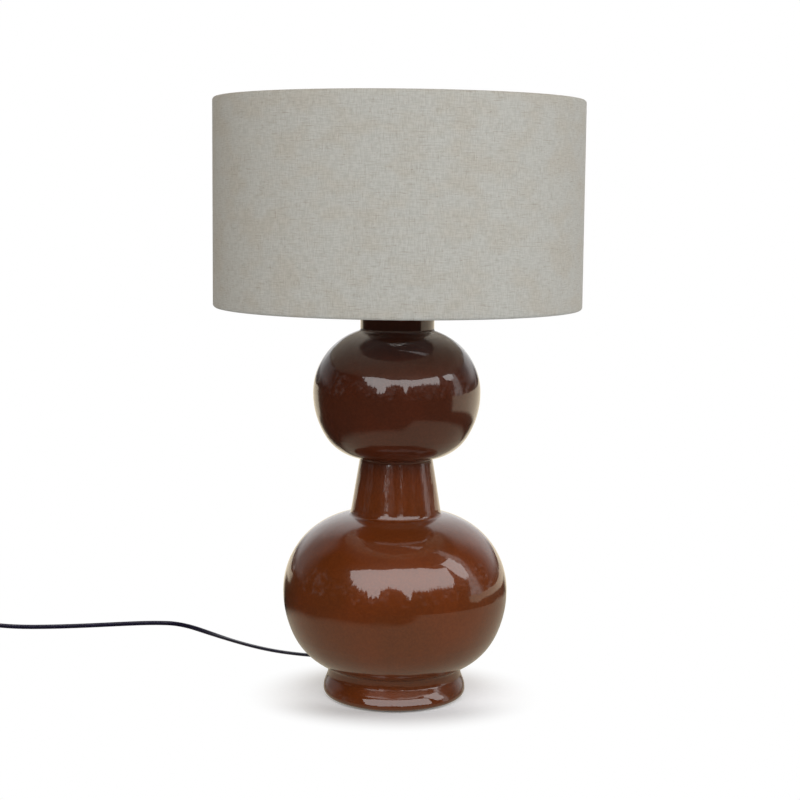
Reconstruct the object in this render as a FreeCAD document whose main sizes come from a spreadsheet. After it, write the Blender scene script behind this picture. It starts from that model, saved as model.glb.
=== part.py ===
import FreeCAD, Part
import math
import os

import Sketcher
from FreeCAD import Placement, Rotation, Vector

# Double gourd table lamp, in millimetres. The lamp stands on the plane z = 0, its axis is Z and its
# front faces -Y. The foot, the belly, the throat and the crown are one hollow glazed stoneware body.
# A threaded tube clamps the neck cap to it and carries the lampholder, whose two ring nuts hold the
# spider of the drum shade.

# ---------------------------------------------------------------- driving dimensions

DIMENSIONS = [
    # felt and foot
    ("felt_radius", 70.0, "felt disc under the foot"),
    ("felt_thickness", 1.5, "felt disc"),
    ("foot_flat_radius", 71.7, "outer edge of the flat ring the foot stands on"),
    ("foot_round", 7.0, "rounded lower edge of the foot"),
    ("recess_radius", 62.0, "hollow under the foot, at its mouth"),
    ("recess_draft", 2.0, "how much narrower that hollow is at its ceiling"),
    ("floor_height", 36.0, "underside of the stoneware floor"),
    ("floor_thickness", 7.0, "stoneware floor"),
    # stoneware body
    ("wall", 6.5, "stoneware wall"),
    ("waist_radius", 73.5, "narrowest place above the foot"),
    ("waist_height", 31.0, "height of that place"),
    ("belly_radius", 123.8, "widest place of the lower gourd"),
    ("belly_height", 119.5, "height of that place"),
    ("belly_top_arc", 85.3, "profile arc above the widest place"),
    ("belly_side_arc", 114.0, "profile arc below the widest place"),
    ("belly_base_arc", 72.9, "profile arc that turns in towards the waist"),
    ("belly_base_angle", 24.6, "where the side arc hands over to the base arc, degrees"),
    ("throat_base_radius", 50.1, "throat where it leaves the lower gourd"),
    ("throat_radius", 39.7, "throat where it meets the upper gourd"),
    ("crown_radius", 91.6, "widest place of the upper gourd"),
    ("crown_height", 338.8, "height of that place"),
    ("crown_top_arc", 70.7, "profile arc above the widest place"),
    ("crown_side_arc", 90.3, "profile arc below the widest place"),
    ("crown_base_arc", 50.6, "profile arc that turns in towards the throat"),
    ("crown_base_angle", 32.1, "where the side arc hands over to the base arc, degrees"),
    ("neck_radius", 40.3, "plain neck"),
    ("neck_top", 440.0, "top of the neck"),
    ("neck_lip_round", 2.0, "rounded edge of the neck's mouth"),
    ("crease_round", 3.0, "glaze pooled in the creases"),
    # cord gland and the lead inside the lamp
    ("cord_width", 5.6, "flat two core flex, measured across its width"),
    ("exit_angle", 120.0, "direction in which the cord leaves the foot, degrees from +X"),
    ("exit_height", 13.0, "height of the cord hole"),
    ("gland_radius", 5.4, "gland where it passes the foot"),
    ("gland_flange_radius", 7.4, "flanges on both sides of the foot's wall"),
    ("gland_flange", 2.0, "thickness of a flange"),
    ("gland_clearance", 0.2, "between the inner flange and the foot"),
    ("relief_length", 24.0, "tapered strain relief outside the foot"),
    ("relief_root_radius", 6.0, "strain relief at the flange"),
    ("relief_tip_radius", 4.0, "strain relief at its tip"),
    ("lead_bend", 14.0, "bend of the lead into the tube"),
    ("core_radius", 1.1, "insulated core"),
    # tube, washer, nuts, cap
    ("tube_radius", 5.0, "threaded tube"),
    ("tube_bore", 3.75, "bore of the tube"),
    ("tube_tail", 2.0, "tube below its nut"),
    ("tube_hole_clearance", 0.6, "hole in the stoneware round the tube, on the radius"),
    ("washer_radius", 22.0, "cup washer under the stoneware floor"),
    ("washer_thickness", 2.0, "cup washer"),
    ("base_nut_flats", 17.0, "nut under the washer, across its flats"),
    ("base_nut_height", 5.0, "nut under the washer"),
    ("cap_nut_flats", 14.0, "nut on the neck cap, across its flats"),
    ("cap_nut_height", 3.0, "nut on the neck cap"),
    ("seal_inner_radius", 35.5, "cork ring on the neck"),
    ("seal_thickness", 1.2, "cork ring on the neck"),
    ("cap_sheet", 1.2, "sheet of the neck cap"),
    ("cap_clearance", 0.4, "between the cap's skirt and the neck"),
    ("cap_skirt", 5.0, "skirt of the cap below the neck's top"),
    ("cap_land_radius", 30.0, "inner edge of the flat ring that presses on the cork"),
    ("cap_dome", 5.0, "rise of the cap's middle"),
    ("cap_flat_radius", 13.0, "flat in the middle of the cap"),
    # lampholder
    ("holder_radius", 20.2, "lampholder over its cap"),
    ("holder_wall", 2.0, "lampholder cap"),
    ("holder_round", 6.0, "rounded lower edge of the lampholder"),
    ("holder_boss_radius", 9.0, "threaded boss inside the lampholder cap"),
    ("holder_boss", 9.0, "height of that boss"),
    ("holder_cap_height", 20.0, "lampholder cap"),
    ("holder_spigot", 6.0, "shell inside the cap"),
    ("shell_radius", 19.8, "threaded outside of the shell"),
    ("shell_bore", 16.4, "inside of the shell"),
    ("shell_collar", 4.0, "plain collar of the shell above the cap"),
    ("shell_height", 41.0, "shell above the cap"),
    ("shell_ledge", 2.0, "ledge in the shell that carries the insert, above the cap"),
    ("ledge_bore", 14.4, "inside of the shell below that ledge"),
    ("insert_clearance", 0.1, "between the porcelain insert and the shell"),
    ("insert_height", 35.0, "porcelain insert"),
    ("insert_base", 8.0, "thick base of the insert"),
    ("insert_bore", 14.3, "inside of the insert"),
    ("screw_shell_wall", 0.6, "screw contact"),
    ("screw_shell_height", 26.0, "screw contact"),
    ("contact_radius", 4.0, "head of the centre contact"),
    ("contact_rivet_radius", 2.5, "rivet of the centre contact"),
    ("contact_head", 1.2, "head of the centre contact"),
    ("terminal_size", 6.0, "terminal blocks under the insert"),
    ("terminal_offset", 8.5, "terminal blocks from the axis"),
    ("terminal_screw_radius", 1.5, "terminal screws"),
    ("grub_screw_radius", 2.0, "screw that locks the lampholder on the tube"),
    # ring nuts and shade fitting
    ("seat_rise", 39.6, "underside of the spider's centre ring above the lampholder's foot"),
    ("ring_nut_height", 7.0, "ring nuts"),
    ("ring_nut_radius", 26.0, "ring nuts"),
    ("ring_nut_grooves", 18, "finger grooves round a ring nut"),
    ("ring_nut_groove_radius", 1.8, "one finger groove"),
    ("nut_running_clearance", 0.06, "between the upper ring nut and the shell, on the radius"),
    ("spider_hole_clearance", 0.7, "between the spider's centre ring and the shell, on the radius"),
    ("spider_ring_radius", 30.0, "spider's centre ring"),
    ("spider_ring_thickness", 2.0, "spider's centre ring"),
    ("spider_recess", 58.0, "centre ring above the shade's lower edge"),
    ("spider_flat", 62.0, "radius at which the arms start to slope"),
    ("spider_bend", 18.0, "bend of an arm"),
    ("spider_arms", 3, "arms of the spider"),
    # shade
    ("shade_radius", 200.0, "outside of the linen"),
    ("shade_height", 223.0, "shade from edge to edge"),
    ("linen_thickness", 0.7, "linen"),
    ("liner_thickness", 0.6, "liner the linen is glued to"),
    ("wire_radius", 2.0, "wire of the shade's rings and arms"),
    ("hem_gap", 0.45, "between the rolled hem and its wire"),
    ("hem_turn", 270.0, "how far the hem is rolled round its wire, degrees"),
    ("hem_folds", 9, "folds of the rolled hem"),
    ("seam_width", 12.0, "overlap of the linen at the back"),
    ("seam_thickness", 0.5, "overlap of the linen at the back"),
    # bulb
    ("bulb_radius", 30.0, "globe of the bulb"),
    ("bulb_length", 106.0, "bulb from contact to top"),
    ("bulb_glass_wall", 1.0, "glass"),
    ("bulb_neck_radius", 13.5, "glass above the metal cap"),
    ("bulb_neck_height", 32.0, "where the neck starts to flare, above the contact"),
    ("bulb_flare_angle", 40.0, "slope at which the flare meets the globe, degrees"),
    ("bulb_cap_clearance", 0.3, "between the bulb's cap and the screw contact, on the radius"),
    ("bulb_cap_height", 22.0, "metal cap of the bulb"),
    ("bulb_cap_wall", 0.5, "metal cap of the bulb"),
    ("bulb_contact_radius", 4.5, "solder contact of the bulb"),
    ("bulb_contact_height", 1.5, "solder contact of the bulb"),
    ("bulb_insulator_height", 3.0, "black glass between contact and cap"),
    ("bulb_contact_gap", 0.3, "between the bulb's contact and the lampholder's"),
    ("stem_radius", 4.0, "glass stem inside the bulb"),
    ("stem_height", 30.0, "glass stem inside the bulb"),
    ("filament_radius", 13.0, "ring on which the filament is strung"),
    # hand switch on the cord
    ("switch_length", 58.0, "hand switch"),
    ("switch_width", 26.0, "hand switch"),
    ("switch_end_width", 11.0, "hand switch at the cord's entry"),
    ("switch_waist", 24.0, "straight middle of the switch's sides"),
    ("switch_base_height", 8.0, "lower half of the switch"),
    ("switch_cover_height", 9.0, "upper half of the switch"),
    ("switch_wall", 1.6, "walls of both halves"),
    ("switch_edge", 1.5, "rounded outer edges"),
    ("switch_cord_height", 7.0, "axis of the cord where it enters the switch"),
    ("rocker_radius", 11.2, "ends of the rocker from its pivot"),
    ("rocker_width", 12.0, "rocker across the switch"),
    ("rocker_clearance", 0.4, "between the rocker and its window"),
    ("rocker_height", 14.0, "pivot above the table"),
    ("rocker_tilt", 12.0, "tilt of the rocker at rest, degrees"),
    ("rocker_pin_radius", 1.0, "pivot pin of the rocker"),
    ("pin_clearance", 0.05, "between the pin and the rocker, on the radius"),
    ("switch_boss_radius", 2.8, "screw bosses"),
    ("switch_screw_radius", 1.2, "screws of the switch"),
    ("switch_screw_x", 16.0, "screws from the middle, along the cord"),
    ("switch_screw_y", 7.4, "screws from the middle, across the cord"),
    # plug
    ("plug_width", 35.0, "plug at its pins"),
    ("plug_thickness", 13.0, "plug at its pins"),
    ("plug_length", 34.0, "plug without pins and strain relief"),
    ("plug_relief", 30.0, "strain relief of the plug"),
    ("plug_relief_radius", 4.6, "strain relief at the plug"),
    ("plug_relief_tip", 3.5, "strain relief at its tip"),
    ("pin_radius", 2.0, "plug pins"),
    ("pin_length", 19.0, "plug pins"),
    ("pin_spacing", 19.0, "plug pins, axis to axis"),
    ("pin_sleeve", 10.0, "insulated part of a pin"),
    ("pin_sleeve_wall", 0.4, "insulation of a pin"),
    ("pin_root", 10.0, "pin inside the plug"),
    # coil of spare cord
    ("coil_turns", 2.25, "turns in each of the two layers"),
    ("coil_outer_radius", 39.6, "axis of the outermost turn"),
    ("coil_pitch", 6.2, "axis to axis of neighbouring turns and layers"),
    ("tie_thickness", 0.7, "tie round the coil"),
    ("tie_width", 8.0, "tie round the coil"),
    ("tie_clearance", 0.6, "between the tie and the turns at its sides"),
    ("tie_lift", 0.2, "between the tie and the turns above and below"),
    ("tie_angle", 270.0, "where the tie sits on the coil, degrees"),
]

# Free cord on the table: points of its route between the gland's tip and the switch.
LEAD_ROUTE = [
    (-59.35, 102.8, 13.0), (-73.5, 121.0, 9.0), (-92.0, 138.5, 4.6),
    (-117.0, 153.0, 2.8), (-142.0, 164.2, 2.8), (-166.0, 180.5, 2.8), (-190.0, 201.5, 2.8),
    (-226.0, 237.8, 2.8), (-276.0, 291.0, 2.8), (-312.0, 294.0, 2.8), (-352.0, 286.0, 2.8),
    (-395.0, 275.5, 2.8), (-438.0, 268.0, 2.8), (-478.0, 265.5, 2.8), (-512.0, 266.5, 4.8),
    (-533.0, 268.0, 7.0),
]
# Between the switch and the coil, and between the coil and the plug.
RUN_ROUTE = [(-621.0, 268.0, 7.0), (-637.0, 269.0, 4.9), (-652.0, 269.6, 3.7)]
TAIL_ROUTE = [
    (-688.0, 269.6, 9.9), (-708.0, 266.5, 9.3), (-726.0, 256.0, 8.0), (-736.0, 239.0, 6.85),
]
COIL_CENTRE = (-668.0, 230.0)
SWITCH_CENTRE = (-578.0, 268.0)
PLUG_PLACE = (-736.0, 158.0, 6.85)

doc = FreeCAD.newDocument("double_gourd_lamp")


# ---------------------------------------------------------------- sizes tied to the sheet

class Size:
    """A length that carries its value and the expression that ties it to the sheet."""

    def __init__(self, value, text):
        self.value = value
        self.text = text

    def __add__(self, other):
        other = as_size(other)
        return Size(self.value + other.value, f"({self.text} + {other.text})")

    def __sub__(self, other):
        other = as_size(other)
        return Size(self.value - other.value, f"({self.text} - {other.text})")

    def __rsub__(self, other):
        return as_size(other) - self

    def __mul__(self, other):
        other = as_size(other)
        return Size(self.value * other.value, f"({self.text} * {other.text})")

    def __truediv__(self, other):
        other = as_size(other)
        return Size(self.value / other.value, f"({self.text} / {other.text})")

    def __neg__(self):
        return Size(-self.value, f"(0 - {self.text})")

    __radd__ = __add__
    __rmul__ = __mul__


def as_size(number):
    """A plain number as a Size."""
    return number if isinstance(number, Size) else Size(float(number), repr(float(number)))


def root(size):
    """Square root of a size."""
    return Size(math.sqrt(size.value), f"sqrt({size.text})")


def cosine(degrees):
    """Cosine of an angle in degrees."""
    return Size(math.cos(math.radians(degrees.value)), f"cos({degrees.text})")


def sine(degrees):
    """Sine of an angle in degrees."""
    return Size(math.sin(math.radians(degrees.value)), f"sin({degrees.text})")


def make_sheet():
    """Puts the driving dimensions in the document's sheet, one row each."""
    sheet = doc.addObject("Spreadsheet::Sheet", "Dimensions")
    for row, (name, value, meaning) in enumerate(DIMENSIONS, start=1):
        sheet.set(f"A{row}", meaning)
        sheet.set(f"B{row}", str(value))
        sheet.setAlias(f"B{row}", name)
    doc.recompute()
    return sheet


SHEET = make_sheet()


def dim(name):
    """A driving dimension as a Size."""
    return Size(float(SHEET.get(name)), f"Dimensions.{name}")


# ---------------------------------------------------------------- sketches and features

def new_body(name):
    """A body whose label is the sub-part's name."""
    body = doc.addObject("PartDesign::Body", name)
    body.Label = name
    return body


def new_sketch(body, name, plane="XZ_Plane", lift=None, turn=None):
    """A sketch on one of the body's origin planes, raised along its normal or turned about its
    own vertical axis."""
    sketch = body.newObject("Sketcher::SketchObject", f"{body.Name}_{name}")
    support = [item for item in body.Origin.OriginFeatures if item.Role == plane]
    sketch.AttachmentSupport = (support[0], [""])
    sketch.MapMode = "FlatFace"
    if lift is not None:
        sketch.setExpression("AttachmentOffset.Base.z", lift.text)
    if turn is not None:
        sketch.AttachmentOffset = Placement(Vector(), Rotation(Vector(0, 1, 0), turn.value))
        sketch.setExpression("AttachmentOffset.Rotation.Angle", f"({turn.text}) * 1 deg")
    return sketch


def pin_point(sketch, geometry, end, x, y):
    """Ties one end of a curve to two sizes measured from the sketch's origin."""
    for kind, axis, size in (("DistanceX", -2, x), ("DistanceY", -1, y)):
        if abs(size.value) < 1e-9:
            sketch.addConstraint(Sketcher.Constraint("PointOnObject", geometry, end, axis))
        elif size.value > 0:
            index = sketch.addConstraint(
                Sketcher.Constraint(kind, -1, 1, geometry, end, size.value))
            sketch.setExpression(f"Constraints[{index}]", size.text)
        else:
            index = sketch.addConstraint(
                Sketcher.Constraint(kind, geometry, end, -1, 1, -size.value))
            sketch.setExpression(f"Constraints[{index}]", (-size).text)


def draw_circle(sketch, x, y, radius):
    """A circle tied to its centre and radius."""
    x, y, radius = as_size(x), as_size(y), as_size(radius)
    circle = Part.Circle(Vector(x.value, y.value, 0), Vector(0, 0, 1), radius.value)
    geometry = sketch.addGeometry(circle)
    if abs(x.value) < 1e-9 and abs(y.value) < 1e-9:
        sketch.addConstraint(Sketcher.Constraint("Coincident", geometry, 3, -1, 1))
    else:
        pin_point(sketch, geometry, 3, x, y)
    index = sketch.addConstraint(Sketcher.Constraint("Radius", geometry, radius.value))
    sketch.setExpression(f"Constraints[{index}]", radius.text)


def arc_between(start, end, radius, left):
    """The arc of under a half turn from start to end, turning left or right."""
    chord = end - start
    half = chord.Length / 2
    depth = math.sqrt(max(radius * radius - half * half, 0.0))
    across = Vector(-chord.y, chord.x, 0).normalize()
    centre = (start + end) * 0.5 + across * (depth if left else -depth)
    first, last = (start, end) if left else (end, start)
    angles = [math.atan2(p.y - centre.y, p.x - centre.x) for p in (first, last)]
    return Part.ArcOfCircle(Part.Circle(centre, Vector(0, 0, 1), radius), *angles)


def draw_outline(sketch, corners):
    """A closed outline. A corner is (x, y), or (x, y, radius, side) when an arc leads on from it,
    which turns to that side, left or right."""
    points = [(as_size(corner[0]), as_size(corner[1])) for corner in corners]
    ends = []
    for index, corner in enumerate(corners):
        here = Vector(points[index][0].value, points[index][1].value, 0)
        after = points[(index + 1) % len(points)]
        there = Vector(after[0].value, after[1].value, 0)
        if len(corner) == 2:
            geometry = sketch.addGeometry(Part.LineSegment(here, there))
            ends.append((geometry, 1, 2))
            continue
        radius, side = as_size(corner[2]), corner[3]
        left = side == "left"
        geometry = sketch.addGeometry(arc_between(here, there, radius.value, left))
        ends.append((geometry, 1, 2) if left else (geometry, 2, 1))
        tie = sketch.addConstraint(Sketcher.Constraint("Radius", geometry, radius.value))
        sketch.setExpression(f"Constraints[{tie}]", radius.text)
    for index, (geometry, first, _) in enumerate(ends):
        before, _, last = ends[index - 1]
        sketch.addConstraint(Sketcher.Constraint("Coincident", before, last, geometry, first))
        pin_point(sketch, geometry, first, *points[index])


def rectangle(x_low, x_high, y_low, y_high):
    """Corners of an upright rectangle."""
    return [(x_low, y_low), (x_high, y_low), (x_high, y_high), (x_low, y_high)]


def rounded_rectangle(width, height, radius):
    """Corners of a rectangle about the origin with round corners."""
    x, y = width / 2, height / 2
    return [
        (-x + radius, -y), (x - radius, -y, radius, "left"),
        (x, -y + radius), (x, y - radius, radius, "left"),
        (x - radius, y), (-x + radius, y, radius, "left"),
        (-x, y - radius), (-x, -y + radius, radius, "left"),
    ]


def revolve(body, sketch, name="Revolution", angle=360.0):
    """Turns a sketch about its own vertical axis."""
    feature = body.newObject("PartDesign::Revolution", f"{body.Name}_{name}")
    feature.Profile = sketch
    feature.ReferenceAxis = (sketch, ["V_Axis"])
    feature.Angle = angle
    if angle < 360.0:
        feature.Midplane = True
    doc.recompute()
    return feature


def groove(body, sketch, name="Groove"):
    """Turns a sketch about its vertical axis and cuts it away."""
    feature = body.newObject("PartDesign::Groove", f"{body.Name}_{name}")
    feature.Profile = sketch
    feature.ReferenceAxis = (sketch, ["V_Axis"])
    feature.Angle = 360.0
    doc.recompute()
    return feature


def pad(body, sketch, length, name="Pad", midplane=False):
    """Raises a sketch along its normal."""
    feature = body.newObject("PartDesign::Pad", f"{body.Name}_{name}")
    feature.Profile = sketch
    feature.setExpression("Length", as_size(length).text)
    feature.Midplane = midplane
    doc.recompute()
    return feature


def pocket(body, sketch, depth, name="Pocket", midplane=False, upwards=False):
    """Cuts a sketch away, against its normal or, upwards, along it."""
    feature = body.newObject("PartDesign::Pocket", f"{body.Name}_{name}")
    feature.Profile = sketch
    feature.setExpression("Length", as_size(depth).text)
    feature.Midplane = midplane
    feature.Reversed = upwards
    doc.recompute()
    return feature


def polar(body, feature, count, name="Polar"):
    """Repeats a feature round the body's Z axis."""
    pattern = body.newObject("PartDesign::PolarPattern", f"{body.Name}_{name}")
    pattern.Originals = [feature]
    axis = [item for item in body.Origin.OriginFeatures if item.Role == "Z_Axis"]
    pattern.Axis = (axis[0], [""])
    pattern.Angle = 360.0
    pattern.setExpression("Occurrences", as_size(count).text)
    body.Tip = pattern
    doc.recompute()
    return pattern


def fillet(body, base, edges, radius, name="Fillet"):
    """Rounds named edges of a feature."""
    feature = body.newObject("PartDesign::Fillet", f"{body.Name}_{name}")
    feature.Base = (base, edges)
    feature.setExpression("Radius", as_size(radius).text)
    doc.recompute()
    return feature


def edges_where(shape, test):
    """Names of the edges of a shape that pass a test."""
    return [f"Edge{number}" for number, edge in enumerate(shape.Edges, start=1) if test(edge)]


def ring_edges(shape, rings):
    """Names of the circular edges about Z at the given (radius, height) pairs."""
    def on_a_ring(edge):
        curve = edge.Curve
        if not isinstance(curve, Part.Circle):
            return False
        return any(abs(curve.Radius - radius.value) < 1e-3 and abs(curve.Center.z - height.value) < 1e-3
                   for radius, height in rings)
    return edges_where(shape, on_a_ring)


def turned(name, corners):
    """A body turned about Z from one outline of (radius, height) corners."""
    body = new_body(name)
    sketch = new_sketch(body, "profile")
    draw_outline(sketch, corners)
    revolve(body, sketch)
    return body


def solid_feature(name, shape):
    """A sub-part that holds a computed shape."""
    feature = doc.addObject("Part::Feature", name)
    feature.Label = name
    feature.Shape = shape
    feature.Placement = Placement()
    return feature


# ---------------------------------------------------------------- stoneware body

FELT = dim("felt_thickness")
WALL = dim("wall")


class Gourd:
    """One bulb of the double gourd: a top arc, a side arc and a base arc, all in (radius, height)."""

    def __init__(self, prefix):
        self.radius = dim(f"{prefix}_radius")
        self.height = dim(f"{prefix}_height")
        self.top_arc = dim(f"{prefix}_top_arc")
        self.side_arc = dim(f"{prefix}_side_arc")
        self.base_arc = dim(f"{prefix}_base_arc")
        self.angle = dim(f"{prefix}_base_angle")
        self.base_x = (self.radius - self.side_arc
                       + (self.side_arc - self.base_arc) * cosine(self.angle))
        self.base_y = self.height - (self.side_arc - self.base_arc) * sine(self.angle)

    def height_above(self, radius, inset):
        """Height at which the top arc, moved in by inset, reaches a radius."""
        arc = self.top_arc - inset
        across = radius - (self.radius - self.top_arc)
        return self.height + root(arc * arc - across * across)

    def height_below(self, radius, inset):
        """Height at which the base arc, moved in by inset, reaches a radius."""
        arc = self.base_arc - inset
        across = radius - self.base_x
        return self.base_y - root(arc * arc - across * across)

    def radius_below(self, height, inset):
        """Radius at which the base arc, moved in by inset, reaches a height."""
        arc = self.base_arc - inset
        down = self.base_y - height
        return self.base_x + root(arc * arc - down * down)

    def handover(self, inset):
        """Corner between the base arc and the side arc."""
        arc = self.side_arc - inset
        return (self.radius - self.side_arc + arc * cosine(self.angle),
                self.height - arc * sine(self.angle))

    def outside(self, low_radius, high_radius):
        """Corners from the crease below to the crease above."""
        over = self.handover(as_size(0))
        return [
            (low_radius, self.height_below(low_radius, as_size(0)), self.base_arc, "left"),
            (*over, self.side_arc, "left"),
            (self.radius, self.height, self.top_arc, "left"),
            (high_radius, self.height_above(high_radius, as_size(0))),
        ]

    def inside(self, low_corner, high_radius):
        """Corners of the hollow, from the crease above to the corner below."""
        over = self.handover(WALL)
        return [
            (high_radius, self.height_above(high_radius, WALL), self.top_arc - WALL, "right"),
            (self.radius - WALL, self.height, self.side_arc - WALL, "right"),
            (*over, self.base_arc - WALL, "right"),
            low_corner,
        ]


BELLY = Gourd("belly")
CROWN = Gourd("crown")


def foot_outside():
    """Corners of the foot, from the hollow under it to the waist."""
    flat, turn = dim("foot_flat_radius"), dim("foot_round")
    waist, height = dim("waist_radius"), dim("waist_height")
    wide, low = flat + turn, FELT + turn
    across, rise = wide - waist, height - low
    inwards = across.value > 0
    sweep = (across * across + rise * rise) / (across * (4 if inwards else -4))
    first, second = ("left", "right") if inwards else ("right", "left")
    middle = ((wide + waist) / 2, (low + height) / 2)
    recess = dim("recess_radius")
    return [
        (dim("tube_radius") + dim("tube_hole_clearance"), dim("floor_height")),
        (recess - dim("recess_draft"), dim("floor_height")),
        (recess, FELT),
        (flat, FELT, turn, "left"),
        (wide, low, sweep, first),
        (*middle, sweep, second),
        (waist, height),
    ]


def make_ceramic_body():
    """Hollow stoneware: foot, lower gourd, tapered throat, upper gourd and neck, cast in one."""
    waist, neck, top = dim("waist_radius"), dim("neck_radius"), dim("neck_top")
    throat_low, throat_high = dim("throat_base_radius"), dim("throat_radius")
    lip = dim("neck_lip_round")
    floor_top = dim("floor_height") + dim("floor_thickness")
    hole = dim("tube_radius") + dim("tube_hole_clearance")
    throat_low_in, throat_high_in = throat_low - WALL, throat_high - WALL
    corners = foot_outside()
    corners += BELLY.outside(waist, throat_low)
    corners += CROWN.outside(throat_high, neck)
    corners += [
        (neck, top - lip, lip, "left"),
        (neck - lip, top),
        (neck - WALL, top),
    ]
    throat_corner = (throat_high_in, CROWN.height_below(throat_high_in, WALL))
    corners += CROWN.inside(throat_corner, neck - WALL)
    floor_corner = (BELLY.radius_below(floor_top, WALL), floor_top)
    corners += BELLY.inside(floor_corner, throat_low_in)
    corners += [(hole, floor_top)]
    body = new_body("ceramic_body")
    sketch = new_sketch(body, "profile")
    draw_outline(sketch, corners)
    turned_body = revolve(body, sketch)
    bore = new_sketch(body, "cord_hole", turn=dim("exit_angle") - 90.0)
    draw_circle(bore, 0, dim("exit_height"), dim("gland_radius"))
    drilled = pocket(body, bore, dim("foot_flat_radius") + dim("foot_round") * 2,
                     name="cord_hole_cut")
    zero = as_size(0)
    creases = [
        (waist, BELLY.height_below(waist, zero)),
        (throat_low, BELLY.height_above(throat_low, zero)),
        (throat_high, CROWN.height_below(throat_high, zero)),
        (neck, CROWN.height_above(neck, zero)),
    ]
    fillet(body, drilled, ring_edges(drilled.Shape, creases), dim("crease_round"))
    return body


def make_felt_pad():
    """Felt disc glued under the foot."""
    felt = doc.addObject("Part::Cylinder", "felt_pad")
    felt.Label = "felt_pad"
    felt.setExpression("Radius", dim("felt_radius").text)
    felt.setExpression("Height", FELT.text)
    return felt


# ---------------------------------------------------------------- tube, nuts and neck cap

FLOOR = dim("floor_height")
WASHER_UNDER = FLOOR - dim("washer_thickness")
BASE_NUT_UNDER = WASHER_UNDER - dim("base_nut_height")
TUBE_FOOT = BASE_NUT_UNDER - dim("tube_tail")
SEAL_TOP = dim("neck_top") + dim("seal_thickness")
CAP_TOP = SEAL_TOP + dim("cap_dome") + dim("cap_sheet")
HOLDER_FOOT = CAP_TOP + dim("cap_nut_height")
TUBE_TOP = HOLDER_FOOT + dim("holder_boss")


def ring(name, inner, outer, low, high):
    """A plain ring about Z."""
    return turned(name, rectangle(inner, outer, low, high))


def make_hex_nut(name, flats, height, low):
    """A hexagonal nut on the threaded tube, with its corners turned down at both ends."""
    body = new_body(name)
    sketch = new_sketch(body, "hexagon", "XY_Plane", lift=low)
    corner = flats / math.sqrt(3.0)
    half, side = flats / 2, corner / 2
    draw_outline(sketch, [(corner, 0), (side, half), (-side, half),
                          (-corner, 0), (-side, -half), (side, -half)])
    draw_circle(sketch, 0, 0, dim("tube_radius"))
    pad(body, sketch, height)
    chamfer = new_sketch(body, "chamfer")
    run = corner - half
    fall = run * math.tan(math.radians(30.0))
    reach = corner + 1.0
    slope = fall + math.tan(math.radians(30.0))
    draw_outline(chamfer, [(half, low + height), (reach, low + height - slope),
                           (reach, low + height + 1.0), (half, low + height + 1.0)])
    draw_outline(chamfer, [(half, low), (half, low - 1.0), (reach, low - 1.0),
                           (reach, low + slope)])
    groove(body, chamfer)
    return body


def make_neck_cap():
    """Spun metal cap: a skirt round the neck, a flat ring on the cork and a low dome."""
    sheet, skirt = dim("cap_sheet"), dim("neck_radius") + dim("cap_clearance")
    foot = dim("neck_top") - dim("cap_skirt")
    land, flat, tube = dim("cap_land_radius"), dim("cap_flat_radius"), dim("tube_radius")
    under = SEAL_TOP + dim("cap_dome")
    return turned("neck_cap", [
        (skirt, foot), (skirt + sheet, foot),
        (skirt + sheet, SEAL_TOP, sheet, "left"),
        (skirt, SEAL_TOP + sheet),
        (land + sheet, SEAL_TOP + sheet),
        (flat + sheet / 2, CAP_TOP), (tube, CAP_TOP),
        (tube, under), (flat, under),
        (land, SEAL_TOP), (skirt, SEAL_TOP),
    ])


def make_stack():
    """Everything that clamps the stoneware between its floor and its neck."""
    tube = dim("tube_radius")
    return [
        ring("base_washer", tube, dim("washer_radius"), WASHER_UNDER, FLOOR),
        make_hex_nut("base_nut", dim("base_nut_flats"), dim("base_nut_height"), BASE_NUT_UNDER),
        ring("threaded_tube", dim("tube_bore"), tube, TUBE_FOOT, TUBE_TOP),
        ring("neck_seal", dim("seal_inner_radius"), dim("neck_radius"), dim("neck_top"), SEAL_TOP),
        make_neck_cap(),
        make_hex_nut("cap_nut", dim("cap_nut_flats"), dim("cap_nut_height"), CAP_TOP),
    ]


# ---------------------------------------------------------------- lampholder

CAP_RIM = HOLDER_FOOT + dim("holder_cap_height")
SHELL_TOP = CAP_RIM + dim("shell_height")
LEDGE = CAP_RIM + dim("shell_ledge")
INSERT_FLOOR = LEDGE + dim("insert_base")
SEAT = HOLDER_FOOT + dim("seat_rise")
BULB_FOOT = INSERT_FLOOR + dim("contact_head") + dim("bulb_contact_gap")


def make_lampholder_cap():
    """Lower half of the lampholder, with the threaded boss that screws on the tube."""
    radius, wall, turn = dim("holder_radius"), dim("holder_wall"), dim("holder_round")
    tube, boss = dim("tube_radius"), dim("holder_boss_radius")
    foot = HOLDER_FOOT
    body = turned("lampholder_cap", [
        (tube, foot), (radius - turn, foot, turn, "left"),
        (radius, foot + turn), (radius, CAP_RIM),
        (radius - wall, CAP_RIM),
        (radius - wall, foot + turn, turn - wall, "right"),
        (radius - turn, foot + wall), (boss, foot + wall),
        (boss, foot + dim("holder_boss")), (tube, foot + dim("holder_boss")),
    ])
    hole = new_sketch(body, "grub_hole", "YZ_Plane")
    draw_circle(hole, 0, grub_height(), dim("grub_screw_radius"))
    pocket(body, hole, radius, name="grub_hole_cut", upwards=True)
    return body


def grub_height():
    """Height of the screw that locks the lampholder."""
    return HOLDER_FOOT + dim("holder_wall") + dim("grub_screw_radius") + 1.0


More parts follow.
